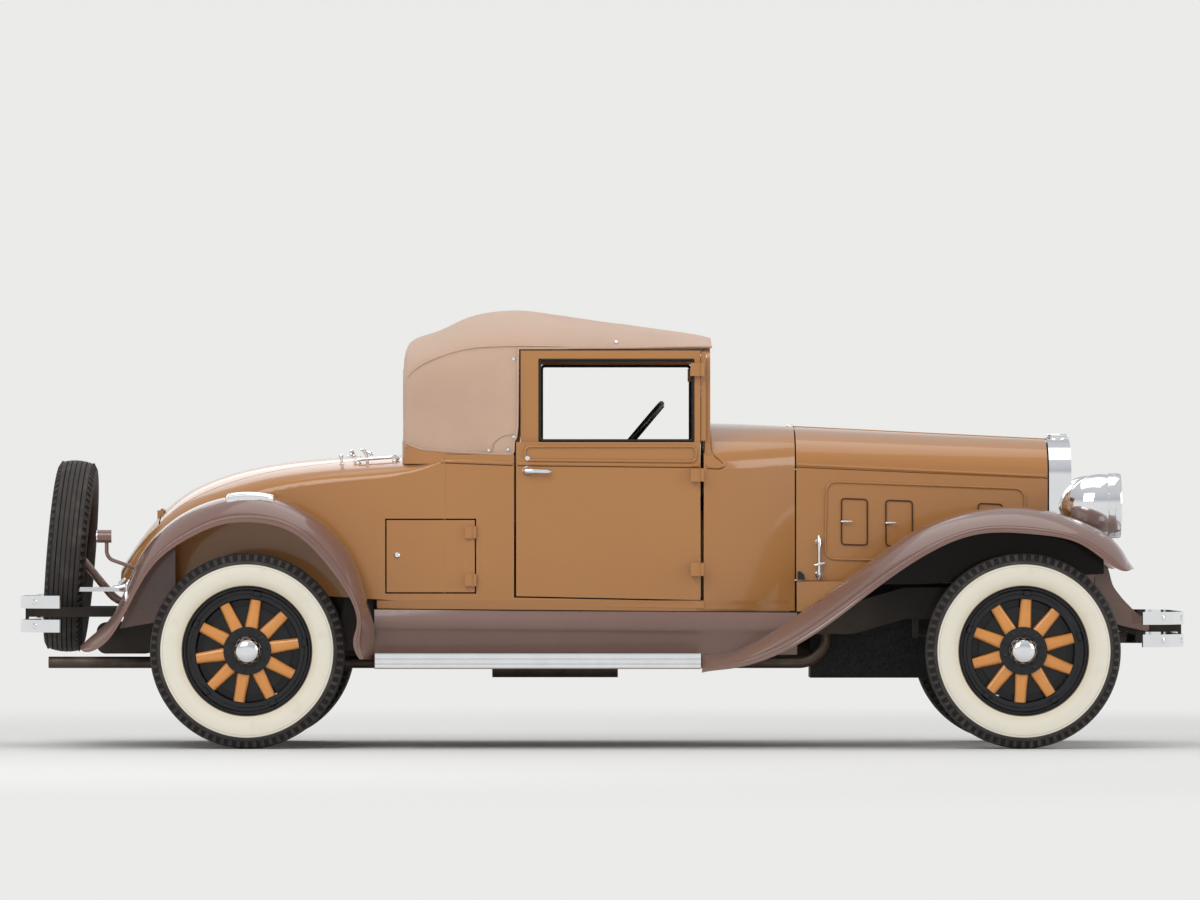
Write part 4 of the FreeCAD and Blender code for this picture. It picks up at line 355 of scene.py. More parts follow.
def row_of(shape, finish, count, turn=0.0, step=(0, 0, 0)):
    """The mesh of a shape repeated, each copy turned about the Z axis and moved on from the last."""
    item = bpy.data.objects.new("one_of_row", mesh_of("one_of_row", shape))
    scene.collection.objects.link(item)
    modifier = item.modifiers.new("repeat", "NODES")
    modifier.node_group = repeat
    values = {"Count": count, "Turn": turn, "Step": step, "Finish": finish.holder}
    for socket in repeat.interface.items_tree:
        if socket.in_out == "INPUT" and socket.name in values:
            modifier[socket.identifier] = values[socket.name]
    mesh = as_built(item)
    bpy.data.objects.remove(item)
    return mesh


def joined(shapes):
    """Several shapes as one."""
    whole = bmesh.new()
    for shape in shapes:
        passing = mesh_of("passing", shape)
        whole.from_mesh(passing)
        bpy.data.meshes.remove(passing)
    return whole


wheel_radius, track_half, front_axle, rear_axle = 0.4005, 0.7175, 1.718, -1.457
wheels = {}
for end, axle_x, phase in (("front", front_axle, -3.5), ("rear", rear_axle, -9.5)):
    for hand, quarter in (("left", -90), ("right", 90)):
        place = Matrix.Translation((axle_x, track_half if hand == "left" else -track_half, wheel_radius))
        wheels[f"{end}_{hand}"] = (place @ Matrix.Rotation(math.radians(quarter), 4, "X"),
                                   math.radians(phase))
spare_place = Matrix.Translation((-2.222, 0, 0.788)) @ Matrix.Rotation(math.radians(4.5 - 90), 4, "Y")

rubber = finish_named("tyre_rubber", Specular_IOR_Level=0.35)
where = rubber.place()
reach_out, outboard, lugs = [rubber.given(kept) for kept in ("reach", "outboard", "lug")]
white = outboard * (rubber.rise(reach_out, 0.2665, 0.2685) - rubber.rise(reach_out, 0.352, 0.3545))
ring_line = rubber.rise(reach_out, 0.344, 0.345) - rubber.rise(reach_out, 0.3455, 0.3465)
smear = rubber.cloud(where, 14.0, 5.0)
cream = rubber.between((229, 223, 208), (214, 200, 168), rubber.rise(0.3 - reach_out, 0.0, 0.034) * 0.5)
cream = rubber.between(cream, (176, 165, 146), ring_line * 0.5 + rubber.rise(smear, 0.52, 0.9) * 0.25)
black = rubber.between((58, 54, 52), (84, 79, 73), rubber.rise(smear, 0.45, 0.85))
# Painted shade: the tyre's shoulder between the lugs is painted near-black, for the shade in the gaps between
# them.
shoulder = rubber.rise(reach_out, 0.366, 0.37) - rubber.rise(reach_out, 0.3915, 0.3925)
black = rubber.between(black, (30, 28, 27), shoulder * (1.0 - lugs))
rubber.coated(rubber.between(black, cream, white), 0.78 - white * 0.25)
rubber.relief(rubber.cloud(where, 160.0, 4.0) - ring_line * 1.5, 0.0006)

tread_radius, tread_half, groove_depth = 400.4, 62, 7
side_wall = [(262, 55), (265.5, 60.5), (274, 66.5), (290, 74), (310, 79.7), (331, 82.2), (343.5, 81.7),
             (354.5, 80), (356.5, 81.2), (360, 79.6), (372, 74.2), (384, 67.2), (390.8, 62.2)]
tread_edges = []
for middle in (40, 20, 0, -20, -40):
    for offset, sink in ((2.7, 0), (1.4, groove_depth), (-1.4, groove_depth), (-2.7, 0)):
        across = middle + offset
        tread_edges.append((tread_radius - 9 * (across / tread_half) ** 2 - sink, across))
tyre_outline = side_wall + tread_edges + [(r, -h) for r, h in reversed(side_wall)]


def tyre_mesh(place):
    """A tyre with ribs, and 72 lugs on each shoulder; its corners keep what the rubber's colours need."""
    shape = turned(tyre_outline, 128)
    lug = walled([[(0.369, -0.009, 0.0735), (0.3905, -0.0115, 0.06), (0.3905, 0.0065, 0.06),
                   (0.369, 0.004, 0.0735)], [(0.37, -0.008, 0.0795), (0.3945, -0.0105, 0.0655),
                                             (0.3945, 0.0055, 0.0655), (0.37, 0.003, 0.0795)]])
    outer_row = row_of(lug, rubber, 72, math.tau / 72)
    inner_row = outer_row.copy()
    inner_row.transform(Matrix.Scale(-1, 4, (0, 0, 1)))
    inner_row.flip_normals()
    plain_count = len(shape.verts)
    shape = joined([shape, outer_row, inner_row])
    far_out, face_out, on_lug = [shape.verts.layers.float.new(kept) for kept in ("reach", "outboard", "lug")]
    for number, corner in enumerate(shape.verts):
        corner[far_out] = corner.co.xy.length
        corner[face_out] = 1.0 if corner.co.z > 0.03 else 0.0
        corner[on_lug] = 1.0 if number >= plain_count else 0.0
    return mesh_of("tyre", shape, place)


for spot, (place, _) in wheels.items():
    tyre = shown_piece(f"ribbed_tyre_{spot}", tyre_mesh(place), rubber, 28, f"wheel_{spot}")
    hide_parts(f"tyre_{spot}")
spare_tyre = shown_piece("ribbed_tyre_spare", tyre_mesh(spare_place), rubber, 28)
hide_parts("spare_tyre")

gloss_black = mottled("wheel_black", (17, 19, 23), (28, 28, 31), rough=0.2, uneven=0.06, scale=8.0,
                      rough_scale=30.0, Coat_Weight=0.25, Coat_Roughness=0.04, Specular_IOR_Level=0.25)
chrome = mottled("chrome_plate", (241, 242, 244), (226, 227, 230), rough=0.04, uneven=0.06, scale=16.0,
                 detail=5.0, Metallic=1.0)

rim_outline = [(212.3, -26), (212.3, 23.5), (214.8, 26), (231, 26), (235, 30), (245.5, 31), (249.2, 35),
               (250, 49), (253, 54), (258.5, 55), (261.7, 52.5), (261.7, -55), (250, -55), (250, -26)]
hub_outline = [(0, 28), (30.1, 28), (30.1, -37.3), (172, -37.3), (172, -73.3), (180, -73.3), (180, -29.3),
               (98, -29.3), (98, -21.3), (44, -21.3), (44, 21.3), (96.5, 21.3), (98, 22.8), (98, 27.8),
               (96.2, 29.3), (64, 29.3), (62, 31.8), (0, 31.8)]
cap_outline = [(0, 31.8), (59, 31.8), (59, 34.5), (56.5, 37.5), (55, 40), (55, 53), (53.5, 59), (50, 67),
               (43, 75.5), (33, 81.2), (18, 84.6), (0, 85.5)]


def wheel_metal():
    """Rim, hub and drum with ten studs and five wedge lugs."""
    stud = turned([(0, 0), (7.2, 0), (7.2, 6.2), (4.5, 8), (4.5, 12.5), (0, 13)], 6)
    stud.transform(Matrix.Translation((0.08, 0, 0.029)))
    nut = turned([(0, 10), (8.5, 10), (8.5, 18), (0, 19)], 6)
    wedge = joined([brick(-0.013, 0.01, -0.017, 0.017, 0.0, 0.011, 0.003), nut])
    wedge.transform(Matrix.Translation((0.238, 0, 0.029)))
    return joined([turned(rim_outline), turned(hub_outline), row_of(stud, gloss_black, 10, math.tau / 10),
                   row_of(wedge, gloss_black, 5, math.tau / 5)])


varnished_wood = finish_named("varnished_hickory", Coat_Weight=0.9, Coat_Roughness=0.06)
plank = varnished_wood.given("plank", "Vector")
fibres = varnished_wood.cloud(varnished_wood.stretched(plank, (300.0, 14.0, 300.0)), 1.0, 4.0)
bands = varnished_wood.cloud(varnished_wood.stretched(plank, (90.0, 5.0, 60.0)), 1.0, 2.0)
tone = varnished_wood.cloud(varnished_wood.place(), 5.0, 1.0)
wood = varnished_wood.between((228, 155, 64), (196, 118, 42), bands * 0.8 + tone * 0.3)
wood = varnished_wood.between(wood, (128, 70, 28), varnished_wood.rise(fibres, 0.56, 0.8) * 0.6)
varnished_wood.coated(wood, 0.32 + fibres * 0.15)
varnished_wood.relief(fibres, 0.0002)

spoke_stations = [(0.072, 0.0215, 0.019), (0.085, 0.025, 0.0206), (0.1, 0.027, 0.0208),
                  (0.12, 0.0262, 0.0206), (0.145, 0.0248, 0.0203), (0.17, 0.0236, 0.0201),
                  (0.19, 0.023, 0.0202), (0.203, 0.0226, 0.0206), (0.2112, 0.0224, 0.0208)]
squareness, spoke_sides = 0.62, 20


def spoke_mesh():
    """Ten spokes of a section between round and square, on the boss that they meet at."""
    rows = []
    for out, half_wide, half_deep in spoke_stations:
        row = []
        for step in range(spoke_sides):
            c, s = math.cos(math.tau * step / spoke_sides), math.sin(math.tau * step / spoke_sides)
            row.append((math.copysign(abs(c) ** squareness, c) * half_wide, out,
                        math.copysign(abs(s) ** squareness, s) * half_deep))
        rows.append(row)
    shape = walled(rows)
    along_grain = shape.verts.layers.float_vector.new("plank")
    for corner in shape.verts:
        corner[along_grain] = corner.co
    boss = turned([(44.5, -20.8), (77.5, -20.8), (77.5, 20.8), (44.5, 20.8)], 60)
    return joined([row_of(shape, varnished_wood, 10, math.tau / 10), boss])


dust_plate = [(60, -74.5), (208.5, -74.5), (208.5, -79), (60, -79)]
for spot, (place, phase) in wheels.items():
    body = f"wheel_{spot}"
    metal = shown_piece(f"rim_hub_and_drum_{spot}", wheel_metal(), gloss_black, 30, body,
                        place @ Matrix.Rotation(phase + 0.31, 4, "Z"))
    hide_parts(f"rim_and_hub_{spot}")
    spokes = shown_piece(f"turned_spokes_{spot}", spoke_mesh(), varnished_wood, 50, body,
                         place @ Matrix.Rotation(phase, 4, "Z"))
    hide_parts(f"spokes_{spot}")
    shown_piece(f"hub_cap_{spot}", turned(cap_outline, 72), chrome, 40, body, place)
for spot, (place, _) in wheels.items():
    carried_by = f"knuckle_{spot[6:]}" if spot.startswith("front") else "chassis"
    shown_piece(f"brake_dust_plate_{spot}", turned(dust_plate, 72), gloss_black, 30,
                carried_by, place)
spare_metal = shown_piece("spare_rim_with_step", turned(rim_outline), gloss_black, 30,
                          place=spare_place)
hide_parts("spare_rim")


# The body in caramel enamel over steel on a wood frame: rear deck and quarters, cowl, doors, side hatch and
# rumble lid, with the belt moulding pressed round it and a raised panel under each side window.

caramel = enamel("caramel_enamel", (173, 119, 64), (165, 111, 57), gloss=0.3)
dressed(caramel, "body_shell", "cowl", "door_left", "door_right", "golf_door", "rumble_lid", "hood_top_left",
        "hood_top_right", "hood_side_left", "hood_side_right", "hood_hinge")


def skin_of(*names):
    """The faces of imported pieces, to find where trim lies on them."""
    corners, faces = [], []
    for name in names:
        mesh = nodes[name].data
        start = len(corners)
        corners += [corner.co.copy() for corner in mesh.vertices]
        faces += [[start + number for number in face.vertices] for face in mesh.polygons]
    return BVHTree.FromPolygons(corners, faces)


def meet(skin, start, way):
    """Where a line first meets a skin, and the way that the skin faces there."""
    way = Vector(way).normalized()
    point, facing, _, _ = skin.ray_cast(Vector(start), way)
    if point is None:
        return None
    return point, (facing if facing.dot(way) < 0 else -facing)


def from_above(skin, x, y):
    return meet(skin, (x, y, 2.0), (0, 0, -1))


def on_side(skin, places):
    """Points of the right side, given as length and height, laid on a skin."""
    hits = [meet(skin, (x, -2.0, z), (0, 1, 0)) for x, z in places]
    return [hit for hit in hits if hit]


def off(laid, gap):
    """Laid points moved off their skin."""
    return [(point + facing * gap, facing) for point, facing in laid]


def eased(corners, radius, closed=False, steps=6):
    """Corners of an outline rounded off."""
    count = len(corners)
    out = []
    for number, corner in enumerate(corners):
        if not closed and number in (0, count - 1):
            out.append(corner)
            continue
        corner = Vector(corner)
        before, after = Vector(corners[number - 1]), Vector(corners[(number + 1) % count])
        back = min(radius, (before - corner).length * 0.45, (after - corner).length * 0.45)
        start = corner + (before - corner).normalized() * back
        end = corner + (after - corner).normalized() * back
        for step in range(steps + 1):
            t = step / steps
            out.append(tuple(start * (1 - t) ** 2 + corner * 2 * t * (1 - t) + end * t * t))
    return out


def walked(corners, pitch, closed=False):
    """The same line with a point at least every pitch."""
    out = []
    ends = corners[1:] + (corners[:1] if closed else [])
    for start, end in zip(corners, ends):
        start, end = Vector(start), Vector(end)
        count = max(1, math.ceil((end - start).length / pitch))
        out += [tuple(start.lerp(end, step / count)) for step in range(count)]
    return out if closed else out + [tuple(corners[-1])]


def beside(points, number, closed=False):
    """The points before and after one of a line."""
    count = len(points)
    if closed:
        return points[(number - 1) % count], points[(number + 1) % count]
    return points[max(number - 1, 0)], points[min(number + 1, count - 1)]


def moulding(laid, width, rise, closed=False, sink=0.0012):
    """A half-round bead along points laid on a skin."""
    rows = []
    for number, (point, facing) in enumerate(laid):
        before, after = beside(laid, number, closed)
        across = (after[0] - before[0]).normalized().cross(facing).normalized()
        rows.append([point + across * (math.cos(angle) * width / 2)
                     + facing * (math.sin(angle) * (rise + sink) - sink)
                     for angle in (0, 0.6, 1.15, math.pi / 2, math.pi - 1.15, math.pi - 0.6, math.pi)])
    return walled(rows, looped=closed)


def raised_panel(skin, outline, rise, slope, pitch=0.05):
    """A panel pressed outward from a side, with sloped edges, its outline given as length and height."""
    shape = bmesh.new()
    rim = [shape.verts.new((x, 0, z)) for x, z in outline]
    bmesh.ops.inset_region(shape, faces=[shape.faces.new(rim)], thickness=slope, use_even_offset=True)
    low, high = min(x for x, _ in outline), max(x for x, _ in outline)
    cut = low + pitch
    while cut < high:
        bmesh.ops.bisect_plane(shape, geom=list(shape.verts) + list(shape.edges) + list(shape.faces),
                               plane_co=(cut, 0, 0), plane_no=(1, 0, 0))
        cut += pitch
    outer = set(rim) | {corner for edge in shape.edges if edge.is_boundary for corner in edge.verts}
    for corner in shape.verts:
        point, facing = meet(skin, (corner.co.x, -2.0, corner.co.z), (0, 1, 0))
        corner.co = point + facing * (-0.0015 if corner in outer else rise)
    bmesh.ops.recalc_face_normals(shape, faces=shape.faces)
    if sum(face.normal.y * face.calc_area() for face in shape.faces) > 0:
        bmesh.ops.reverse_faces(shape, faces=shape.faces)
    return shape


def plate(outline, y_out, y_in):
    """A flat plate of the right side, its outline given as length and height."""
    return walled([[(x, y, z) for x, z in outline] for y in (y_out, y_in)])


def other_side(shape):
    """The same shape for the left side."""
    twin = shape.copy()
    for corner in twin.verts:
        corner.co.y = -corner.co.y
    bmesh.ops.reverse_faces(twin, faces=twin.faces)
    return twin


def on_both(name, shape, finish, crease=35, bodies=("chassis",)):
    """A right-hand shape and its left-hand twin, on one body together or on one each."""
    twin = other_side(shape)
    if len(bodies) == 1:
        return [shown_piece(name, joined([shape, twin]), finish, crease, bodies[0])]
    return [shown_piece(f"{name}_{hand}", half, finish, crease, body)
            for hand, half, body in (("right", shape, bodies[0]), ("left", twin, bodies[1]))]


DOORS = ("door_right", "door_left")
shell_skin = skin_of("body_shell", "cowl")
door_skin = skin_of("door_right")
# Painted shade: a dark brown for thin strips laid on the skin. They stand for the shade in the vent doors'
# shut lines, under the belt moulding and inside the fenders' bead.
painted_seam_shade = mottled("seam_shadow", (66, 40, 24), (88, 56, 34), rough=0.6, uneven=0.2, scale=60.0,
                    Specular_IOR_Level=0.2)
quarter_places = walked(eased([(-0.775, 1.19), (-0.74, 1.183), (-0.372, 1.169)], 0.02), 0.03)
door_places = walked([(-0.352, 1.168), (0.394, 1.16)], 0.03)
cowl_places = walked(eased([(0.424, 1.157), (0.478, 1.154), (0.502, 1.166), (0.478, 1.19), (0.45, 1.212),
                            (0.444, 1.306)], 0.016), 0.01)
for name, skin, places, bodies in (("quarter", shell_skin, quarter_places, ("chassis",)),
                                   ("door", door_skin, door_places, DOORS),
                                   ("cowl", shell_skin, cowl_places, ("chassis",))):
    belt = moulding(on_side(skin, places), width=0.016, rise=0.0045)
    on_both(f"{name}_belt_moulding", belt, caramel, 35, bodies)
    # A dark strip just under the belt moulding: painted shade below the moulding's edge.
    under = on_side(skin, [(x, z - 0.0095) for x, z in places])
    on_both(f"{name}_belt_seam", moulding(under, width=0.0045, rise=0.0008), painted_seam_shade, 35,
            bodies)


def pressed_panel(name, bead_name, skin, corners, radius, rise, slope, bead_gap, bead_width, bodies):
    """A raised panel with a bead round it, on both sides."""
    outline = eased(corners, radius, True)
    on_both(name, raised_panel(skin, outline, rise, slope), caramel, 60, bodies)
    edge = off(on_side(skin, walked(outline, 0.03, True)), bead_gap)
    on_both(bead_name, moulding(edge, bead_width, rise=0.0045, closed=True), caramel, 60, bodies)


belt_corners = [(-0.322, 1.182), (0.38, 1.176), (0.38, 1.238), (-0.322, 1.238)]
pressed_panel("belt_panel", "belt_panel_bead", door_skin, belt_corners, radius=0.024, rise=0.006, slope=0.01,
              bead_gap=0.004, bead_width=0.011, bodies=DOORS)


# Door furniture: a chromed lever handle on its escutcheon with a separate lock knob, and the black inner
# frame that the glass slides in. The painted hinges are part of the doors.

def tube(points, radius, sides=12):
    """A round bar along points, of one radius or of one at each point."""
    points = [Vector(point) for point in points]
    side = (points[1] - points[0]).normalized().orthogonal().normalized()
    rings = []
    for number, point in enumerate(points):
        before, after = beside(points, number)
        ahead = (after - before).normalized()
        side = (side - ahead * side.dot(ahead)).normalized()
        up = ahead.cross(side)
        size = radius[number] if isinstance(radius, list) else radius
        rings.append([point + (side * math.cos(math.tau * step / sides)
                               + up * math.sin(math.tau * step / sides)) * size for step in range(sides)])
    return walled(rings)


def button(laid, outline, steps=24):
    """A small turned piece standing on a skin; an outline that ends on its axis also starts there."""
    point, facing = laid
    foot = [(0, outline[0][1])] if outline[-1][0] == 0 else []
    shape = turned(foot + outline, steps)
    shape.transform(Matrix.Translation(point) @ facing.to_track_quat("Z", "Y").to_matrix().to_4x4())
    return shape


handle_spot, lock_spot = on_side(door_skin, [(-0.312, 1.138), (-0.312, 1.19)])
rose = button(handle_spot, [(20, -2), (20, 3), (14, 8), (10, 20), (0, 22)])
knob = button(lock_spot, [(13, -2), (13, 4), (9, 9), (0, 10)])
foot = handle_spot[0] + handle_spot[1] * 0.018
arm = [foot + Vector((step * 0.0115 - 0.008, -0.006 * math.sin(step / 9 * math.pi), -0.0004 * step))
       for step in range(10)]
lever = tube(arm, [0.01, 0.0115, 0.0108, 0.01, 0.0095, 0.0092, 0.0092, 0.0095, 0.009, 0.0055])
on_both("door_handle", joined([rose, knob, lever]), chrome, 40, DOORS)

glass_y = -0.6335
window_corners = [(-0.262, 1.262), (0.369, 1.262), (0.369, 1.594), (-0.262, 1.594)]
channel = [(Vector((x, glass_y, z)), Vector((0, -1, 0)))
           for x, z in walked(eased(window_corners, 0.016, True), 0.03, True)]
black_channel = mottled("window_channel", (22, 21, 20), (40, 36, 33), rough=0.5, uneven=0.2, scale=700.0,
                        detail=2.0, Specular_IOR_Level=0.4)
on_both("window_channel", moulding(channel, width=0.013, rise=0.003, closed=True, sink=0.012), black_channel,
        35, DOORS)


# The side hatch's lock, and the rear deck's hardware: the rumble lid's handle, and the chromed rests with
# their catches and pegs that take the folded top's irons.

hatch_lock = button(on_side(skin_of("golf_door"), [(-0.847, 0.792)])[0],
                    [(12, -2), (12, 2), (8, 5), (7.5, 3), (0, 3)])
shown_piece("hatch_lock", hatch_lock, chrome, 40, "golf_door")
lid_spot = from_above(skin_of("rumble_lid"), -1.05, 0)
lid_rose = button(lid_spot, [(22, -2), (22, 3), (13, 9), (10, 22), (0, 24)])
bar_middle = lid_spot[0] + lid_spot[1] * 0.024
lid_bar = tube([bar_middle + Vector((0, step * 0.011, -0.00016 * step * step)) for step in range(-5, 6)],
               [0.004, 0.0065, 0.0075, 0.007, 0.0075, 0.009, 0.0075, 0.007, 0.0075, 0.0065, 0.004])
shown_piece("lid_handle", joined([lid_rose, lid_bar]), chrome, 40, "rumble_lid")

deck_skin = skin_of("body_shell")
rest_line = [from_above(deck_skin, -1.03 + 0.019 * step, -0.49) for step in range(11)]
rest_bar = tube([point + facing * (0.016 if 0 < number < 10 else 0.006)
                 for number, (point, facing) in enumerate(rest_line)],
                [0.005, 0.0085] + [0.0075] * 7 + [0.0085, 0.005])
rest_foot = [(14, -3), (14, 3), (8, 7), (6, 17), (0, 18)]
rest_feet = [button(rest_line[number], rest_foot) for number in (1, 9)]
catch_foot, catch_up = rest_line[3]
catch = tube([catch_foot, catch_foot + catch_up * 0.03, catch_foot + catch_up * 0.052 + Vector((-0.01, 0, 0)),
              catch_foot + catch_up * 0.056 + Vector((-0.024, 0, 0))], [0.006, 0.006, 0.0075, 0.005])
peg_outline = [(10, -2), (10, 3), (5, 6), (5, 26), (9, 30), (9, 38), (4, 42), (0, 42)]
peg = button(from_above(deck_skin, -1.078, -0.48), peg_outline)
on_both("top_rest", joined([rest_bar, catch, peg] + rest_feet), chrome, 40)


# The hood in four hinged leaves: a raised panel with three small vent doors in each side, a latch at its
# lower rear corner, a rubber stop behind it, and the exposed barrels of the side hinges.

HOOD_SIDES = ("hood_side_right", "hood_side_left")
side_skin = skin_of("hood_side_right")
hood_corners = [(0.915, 0.776), (1.752, 0.76), (1.745, 1.066), (0.921, 1.096)]
pressed_panel("hood_side_panel", "hood_panel_bead", side_skin, hood_corners, radius=0.045, rise=0.0055,
              slope=0.009, bead_gap=0.0035, bead_width=0.01, bodies=HOOD_SIDES)

vent_shapes, vent_shade_lines, vent_levers = [], [], []
for rear, front, top, bottom in ((0.983, 1.09, 1.026, 0.836), (1.167, 1.277, 1.019, 0.831),
                                 (1.551, 1.652, 1.006, 0.823)):
    corners = [(rear, bottom), (front, bottom - 0.003), (front, top - 0.004), (rear, top)]
    door_line = eased(corners, 0.016, True)
    vent_shapes.append(raised_panel(side_skin, door_line, rise=0.0085, slope=0.003))
    # A dark strip round each vent door: painted shade in its shut line.
    round_it = off(on_side(side_skin, walked(door_line, 0.02, True)), 0.0062)
    vent_shade_lines.append(moulding(round_it, width=0.0058, rise=0.0008, closed=True))
    grip, out = on_side(side_skin, [(rear + 0.006, (top + bottom) / 2)])[0]
    vent_levers.append(button((grip + out * 0.008, out), [(8, -2), (8, 4), (5, 9), (0, 10)], 16))
    vent_levers.append(tube([grip + out * 0.015 + Vector((reach, 0, 0))
                             for reach in (-0.008, 0.0, 0.018, 0.036)], [0.004, 0.0055, 0.0045, 0.0028], 10))
on_both("hood_vent_doors", joined(vent_shapes), caramel, 60, HOOD_SIDES)
on_both("hood_vent_shade_lines", joined(vent_shade_lines), painted_seam_shade, 60, HOOD_SIDES)
on_both("hood_vent_levers", joined(vent_levers), chrome, 40, HOOD_SIDES)

latch_line = on_side(side_skin, [(0.889, z) for z in (0.872, 0.845, 0.8, 0.755, 0.712, 0.694)])
latch_lifts = (0.006, 0.018, 0.015, 0.017, 0.02, 0.008)
latch_points = [point + facing * lift for (point, facing), lift in zip(latch_line, latch_lifts)]
latch_bar = tube(latch_points, [0.006, 0.009, 0.006, 0.0065, 0.01, 0.007])
latch_end = [(16, -2), (16, 4), (10, 10), (7, 20), (0, 21)]
latch_grip = tube([latch_points[3] + Vector(reach) for reach in ((-0.02, 0, -0.004), (0.0, -0.004, 0.0),
                                                                 (0.022, 0, 0.004))], [0.004, 0.006, 0.004])
latch_ends = [button(latch_line[number], latch_end) for number in (1, 4)]
on_both("hood_latch", joined([latch_bar, latch_grip] + latch_ends), chrome, 40, HOOD_SIDES)
hinge_line = on_side(skin_of("hood_top_right"), [(0.803 + step * 1.03 / 60, 1.1655 - step * 0.047 / 60)
                                                 for step in range(61)])
on_both("hood_hinge_bead", moulding(hinge_line, width=0.012, rise=0.004), caramel,
        bodies=("hood_top_right", "hood_top_left"))
corner_y = on_side(side_skin, [(0.815, 0.705)])[0][0].y
rubber_corners = [(0.803, 0.691), (0.832, 0.691), (0.829, 0.71), (0.817, 0.723), (0.803, 0.727)]
rubber_stop = plate(eased(rubber_corners, 0.004, True), corner_y - 0.016, corner_y + 0.003)
on_both("hood_corner_rubber", rubber_stop, black_channel, 40, HOOD_SIDES)


# Radiator, headlamps and their bar: a chromed brass shell with its filler cap, a core behind upright
# shutters, and bullet lamps with ribbed lenses carried on posts from the bar between the fenders.

dressed(chrome, "radiator_shell", "lamp_bar", "headlamps", "front_bumper", "rear_bumpers")
core_black = mottled("radiator_black", (40, 40, 42), (22, 22, 24), rough=0.4, uneven=0.2, scale=300.0,
                     depth=0.0005, **bare)
dressed(core_black, "radiator_core")
low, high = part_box("radiator_core")
slat = brick(high.x - 0.004, high.x + 0.007, low.y + 0.006, low.y + 0.01, low.z + 0.02, high.z - 0.12, 0.0006)
slats = row_of(slat, core_black, 44, 0.0, (0, (high.y - low.y - 0.018) / 43, 0))
shown_piece("radiator_shutters", slats, core_black, 30)
shell_low, shell_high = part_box("radiator_shell")
cap = turned([(0, -6), (50, -6), (50, 3), (44, 6), (44, 12), (40, 16), (0, 17)], 48)
cap_place = Matrix.Translation(((shell_low.x + shell_high.x) / 2, 0, shell_high.z))
shown_piece("radiator_cap", cap, chrome, 40, place=cap_place)
roundel = button((Vector((shell_high.x, 0, 1.244)), Vector((1, 0, 0))),
                 [(30, -3), (30, 2), (26, 4), (0, 5)], 40)
shown_piece("radiator_roundel", roundel, chrome, 40)

lamp_glass = finish_named("lamp_lens", Transmission_Weight=0.35, IOR=1.5, Specular_IOR_Level=0.6)
where = lamp_glass.place()
flutes = lamp_glass.parts(where)[1].wave(420.0)
lamp_glass.coated(lamp_glass.between((214, 220, 220), (184, 192, 194), flutes * 0.5 + 0.5),
                  0.08 + lamp_glass.cloud(where, 30.0) * 0.06)
lamp_glass.relief(flutes, 0.0012)
lens_place = Matrix.Translation((2.13, -0.398, 0.996)) @ Matrix.Rotation(math.radians(90), 4, "Y")
lens_outline = [(0, 6), (50, 5.2), (85, 3), (118, -1.2), (118, -6), (0, -6)]
rim_ring = [(116, -4), (119, 3), (124, 6), (131, 5), (134.5, 0), (135, -22), (131.5, -24), (131.5, -6)]
for name, outline, finish, slot, crease in (("headlamp_lens", lens_outline, lamp_glass, "glass", 50),
                                            ("headlamp_rim", rim_ring, chrome, "chrome", 40)):
    lamp_front = turned(outline, 72)
    lamp_front.transform(lens_place)
    on_both(name, lamp_front, finish, crease)


# Fenders in mauve-brown enamel with a rolled edge and a pressed bead inside it, ribbed step pads and the
# lower step on the rear pair, and the running boards: brown boards, ribbed mats and fluted chrome edges.

mauve = enamel("mauve_brown_enamel", (124, 93, 83), (112, 82, 74), gloss=0.24, dusty=0.3)
dressed(mauve, "front_fenders", "rear_fenders", "spare_carrier", "tail_lamp")
rear_edge = [(519, -35, 471, -33), (514, 111, 459, 100), (426, 382, 367, 320), (269, 550, 227, 470),
             (102, 623, 96, 527), (-86, 626, -84, 530), (-253, 565, -220, 480), (-420, 414, -376, 370),
             (-525, 195, -500, 165), (-588, 101, -576, 45), (-687, 17, -674, 6)]
front_edge = [(-1157, 9, -1186, -61), (-922, 146, -925, 37), (-661, 336, -666, 219), (-400, 505, -405, 401),
              (-165, 573, -180, 488), (57, 573, 50, 486), (254, 518, 235, 445), (397, 420, 370, 352),
              (457, 336, 434, 332)]


def spline(points, steps):
    """A smooth line through points."""
    out = []
    for number in range(len(points) - 1):
        p0, p1 = points[max(number - 1, 0)], points[number]
        p2, p3 = points[number + 1], points[min(number + 2, len(points) - 1)]
        for step in range(steps):
            t = step / steps
            out.append(tuple(
                0.5 * (2 * b + (c - a) * t + (2 * a - 5 * b + 4 * c - d) * t * t
                       + (3 * b - a - 3 * c + d) * t ** 3) for a, b, c, d in zip(p0, p1, p2, p3)))
    return out + [tuple(points[-1])]


def along_fender(skin, edge, axle, across):
    """Points along a right fender at one distance from the car's middle."""
    laid = []
    for crown_x, crown_z, lip_x, lip_z in spline(edge, 8):
        crown = Vector((axle + crown_x / 1000, -across, wheel_radius + crown_z / 1000))
        inward = Vector(((lip_x - crown_x), 0, (lip_z - crown_z))).normalized()
        hit = meet(skin, crown - inward * 0.25, inward)
        if hit and (hit[0] - crown).length < 0.12:
            laid.append(hit)
    return laid


for name, edge, axle in (("rear_fenders", rear_edge, rear_axle), ("front_fenders", front_edge, front_axle)):
    skin = skin_of(name)
    bead = moulding(along_fender(skin, edge, axle, 0.8425), width=0.012, rise=0.005)
    on_both(f"{name}_bead", bead, mauve, 50)
    # A dark strip inside the bead: painted shade, standing in for a groove.
    groove = moulding(along_fender(skin, edge, axle, 0.832), width=0.0035, rise=0.0006)
    on_both(f"{name}_groove", groove, painted_seam_shade, 50)

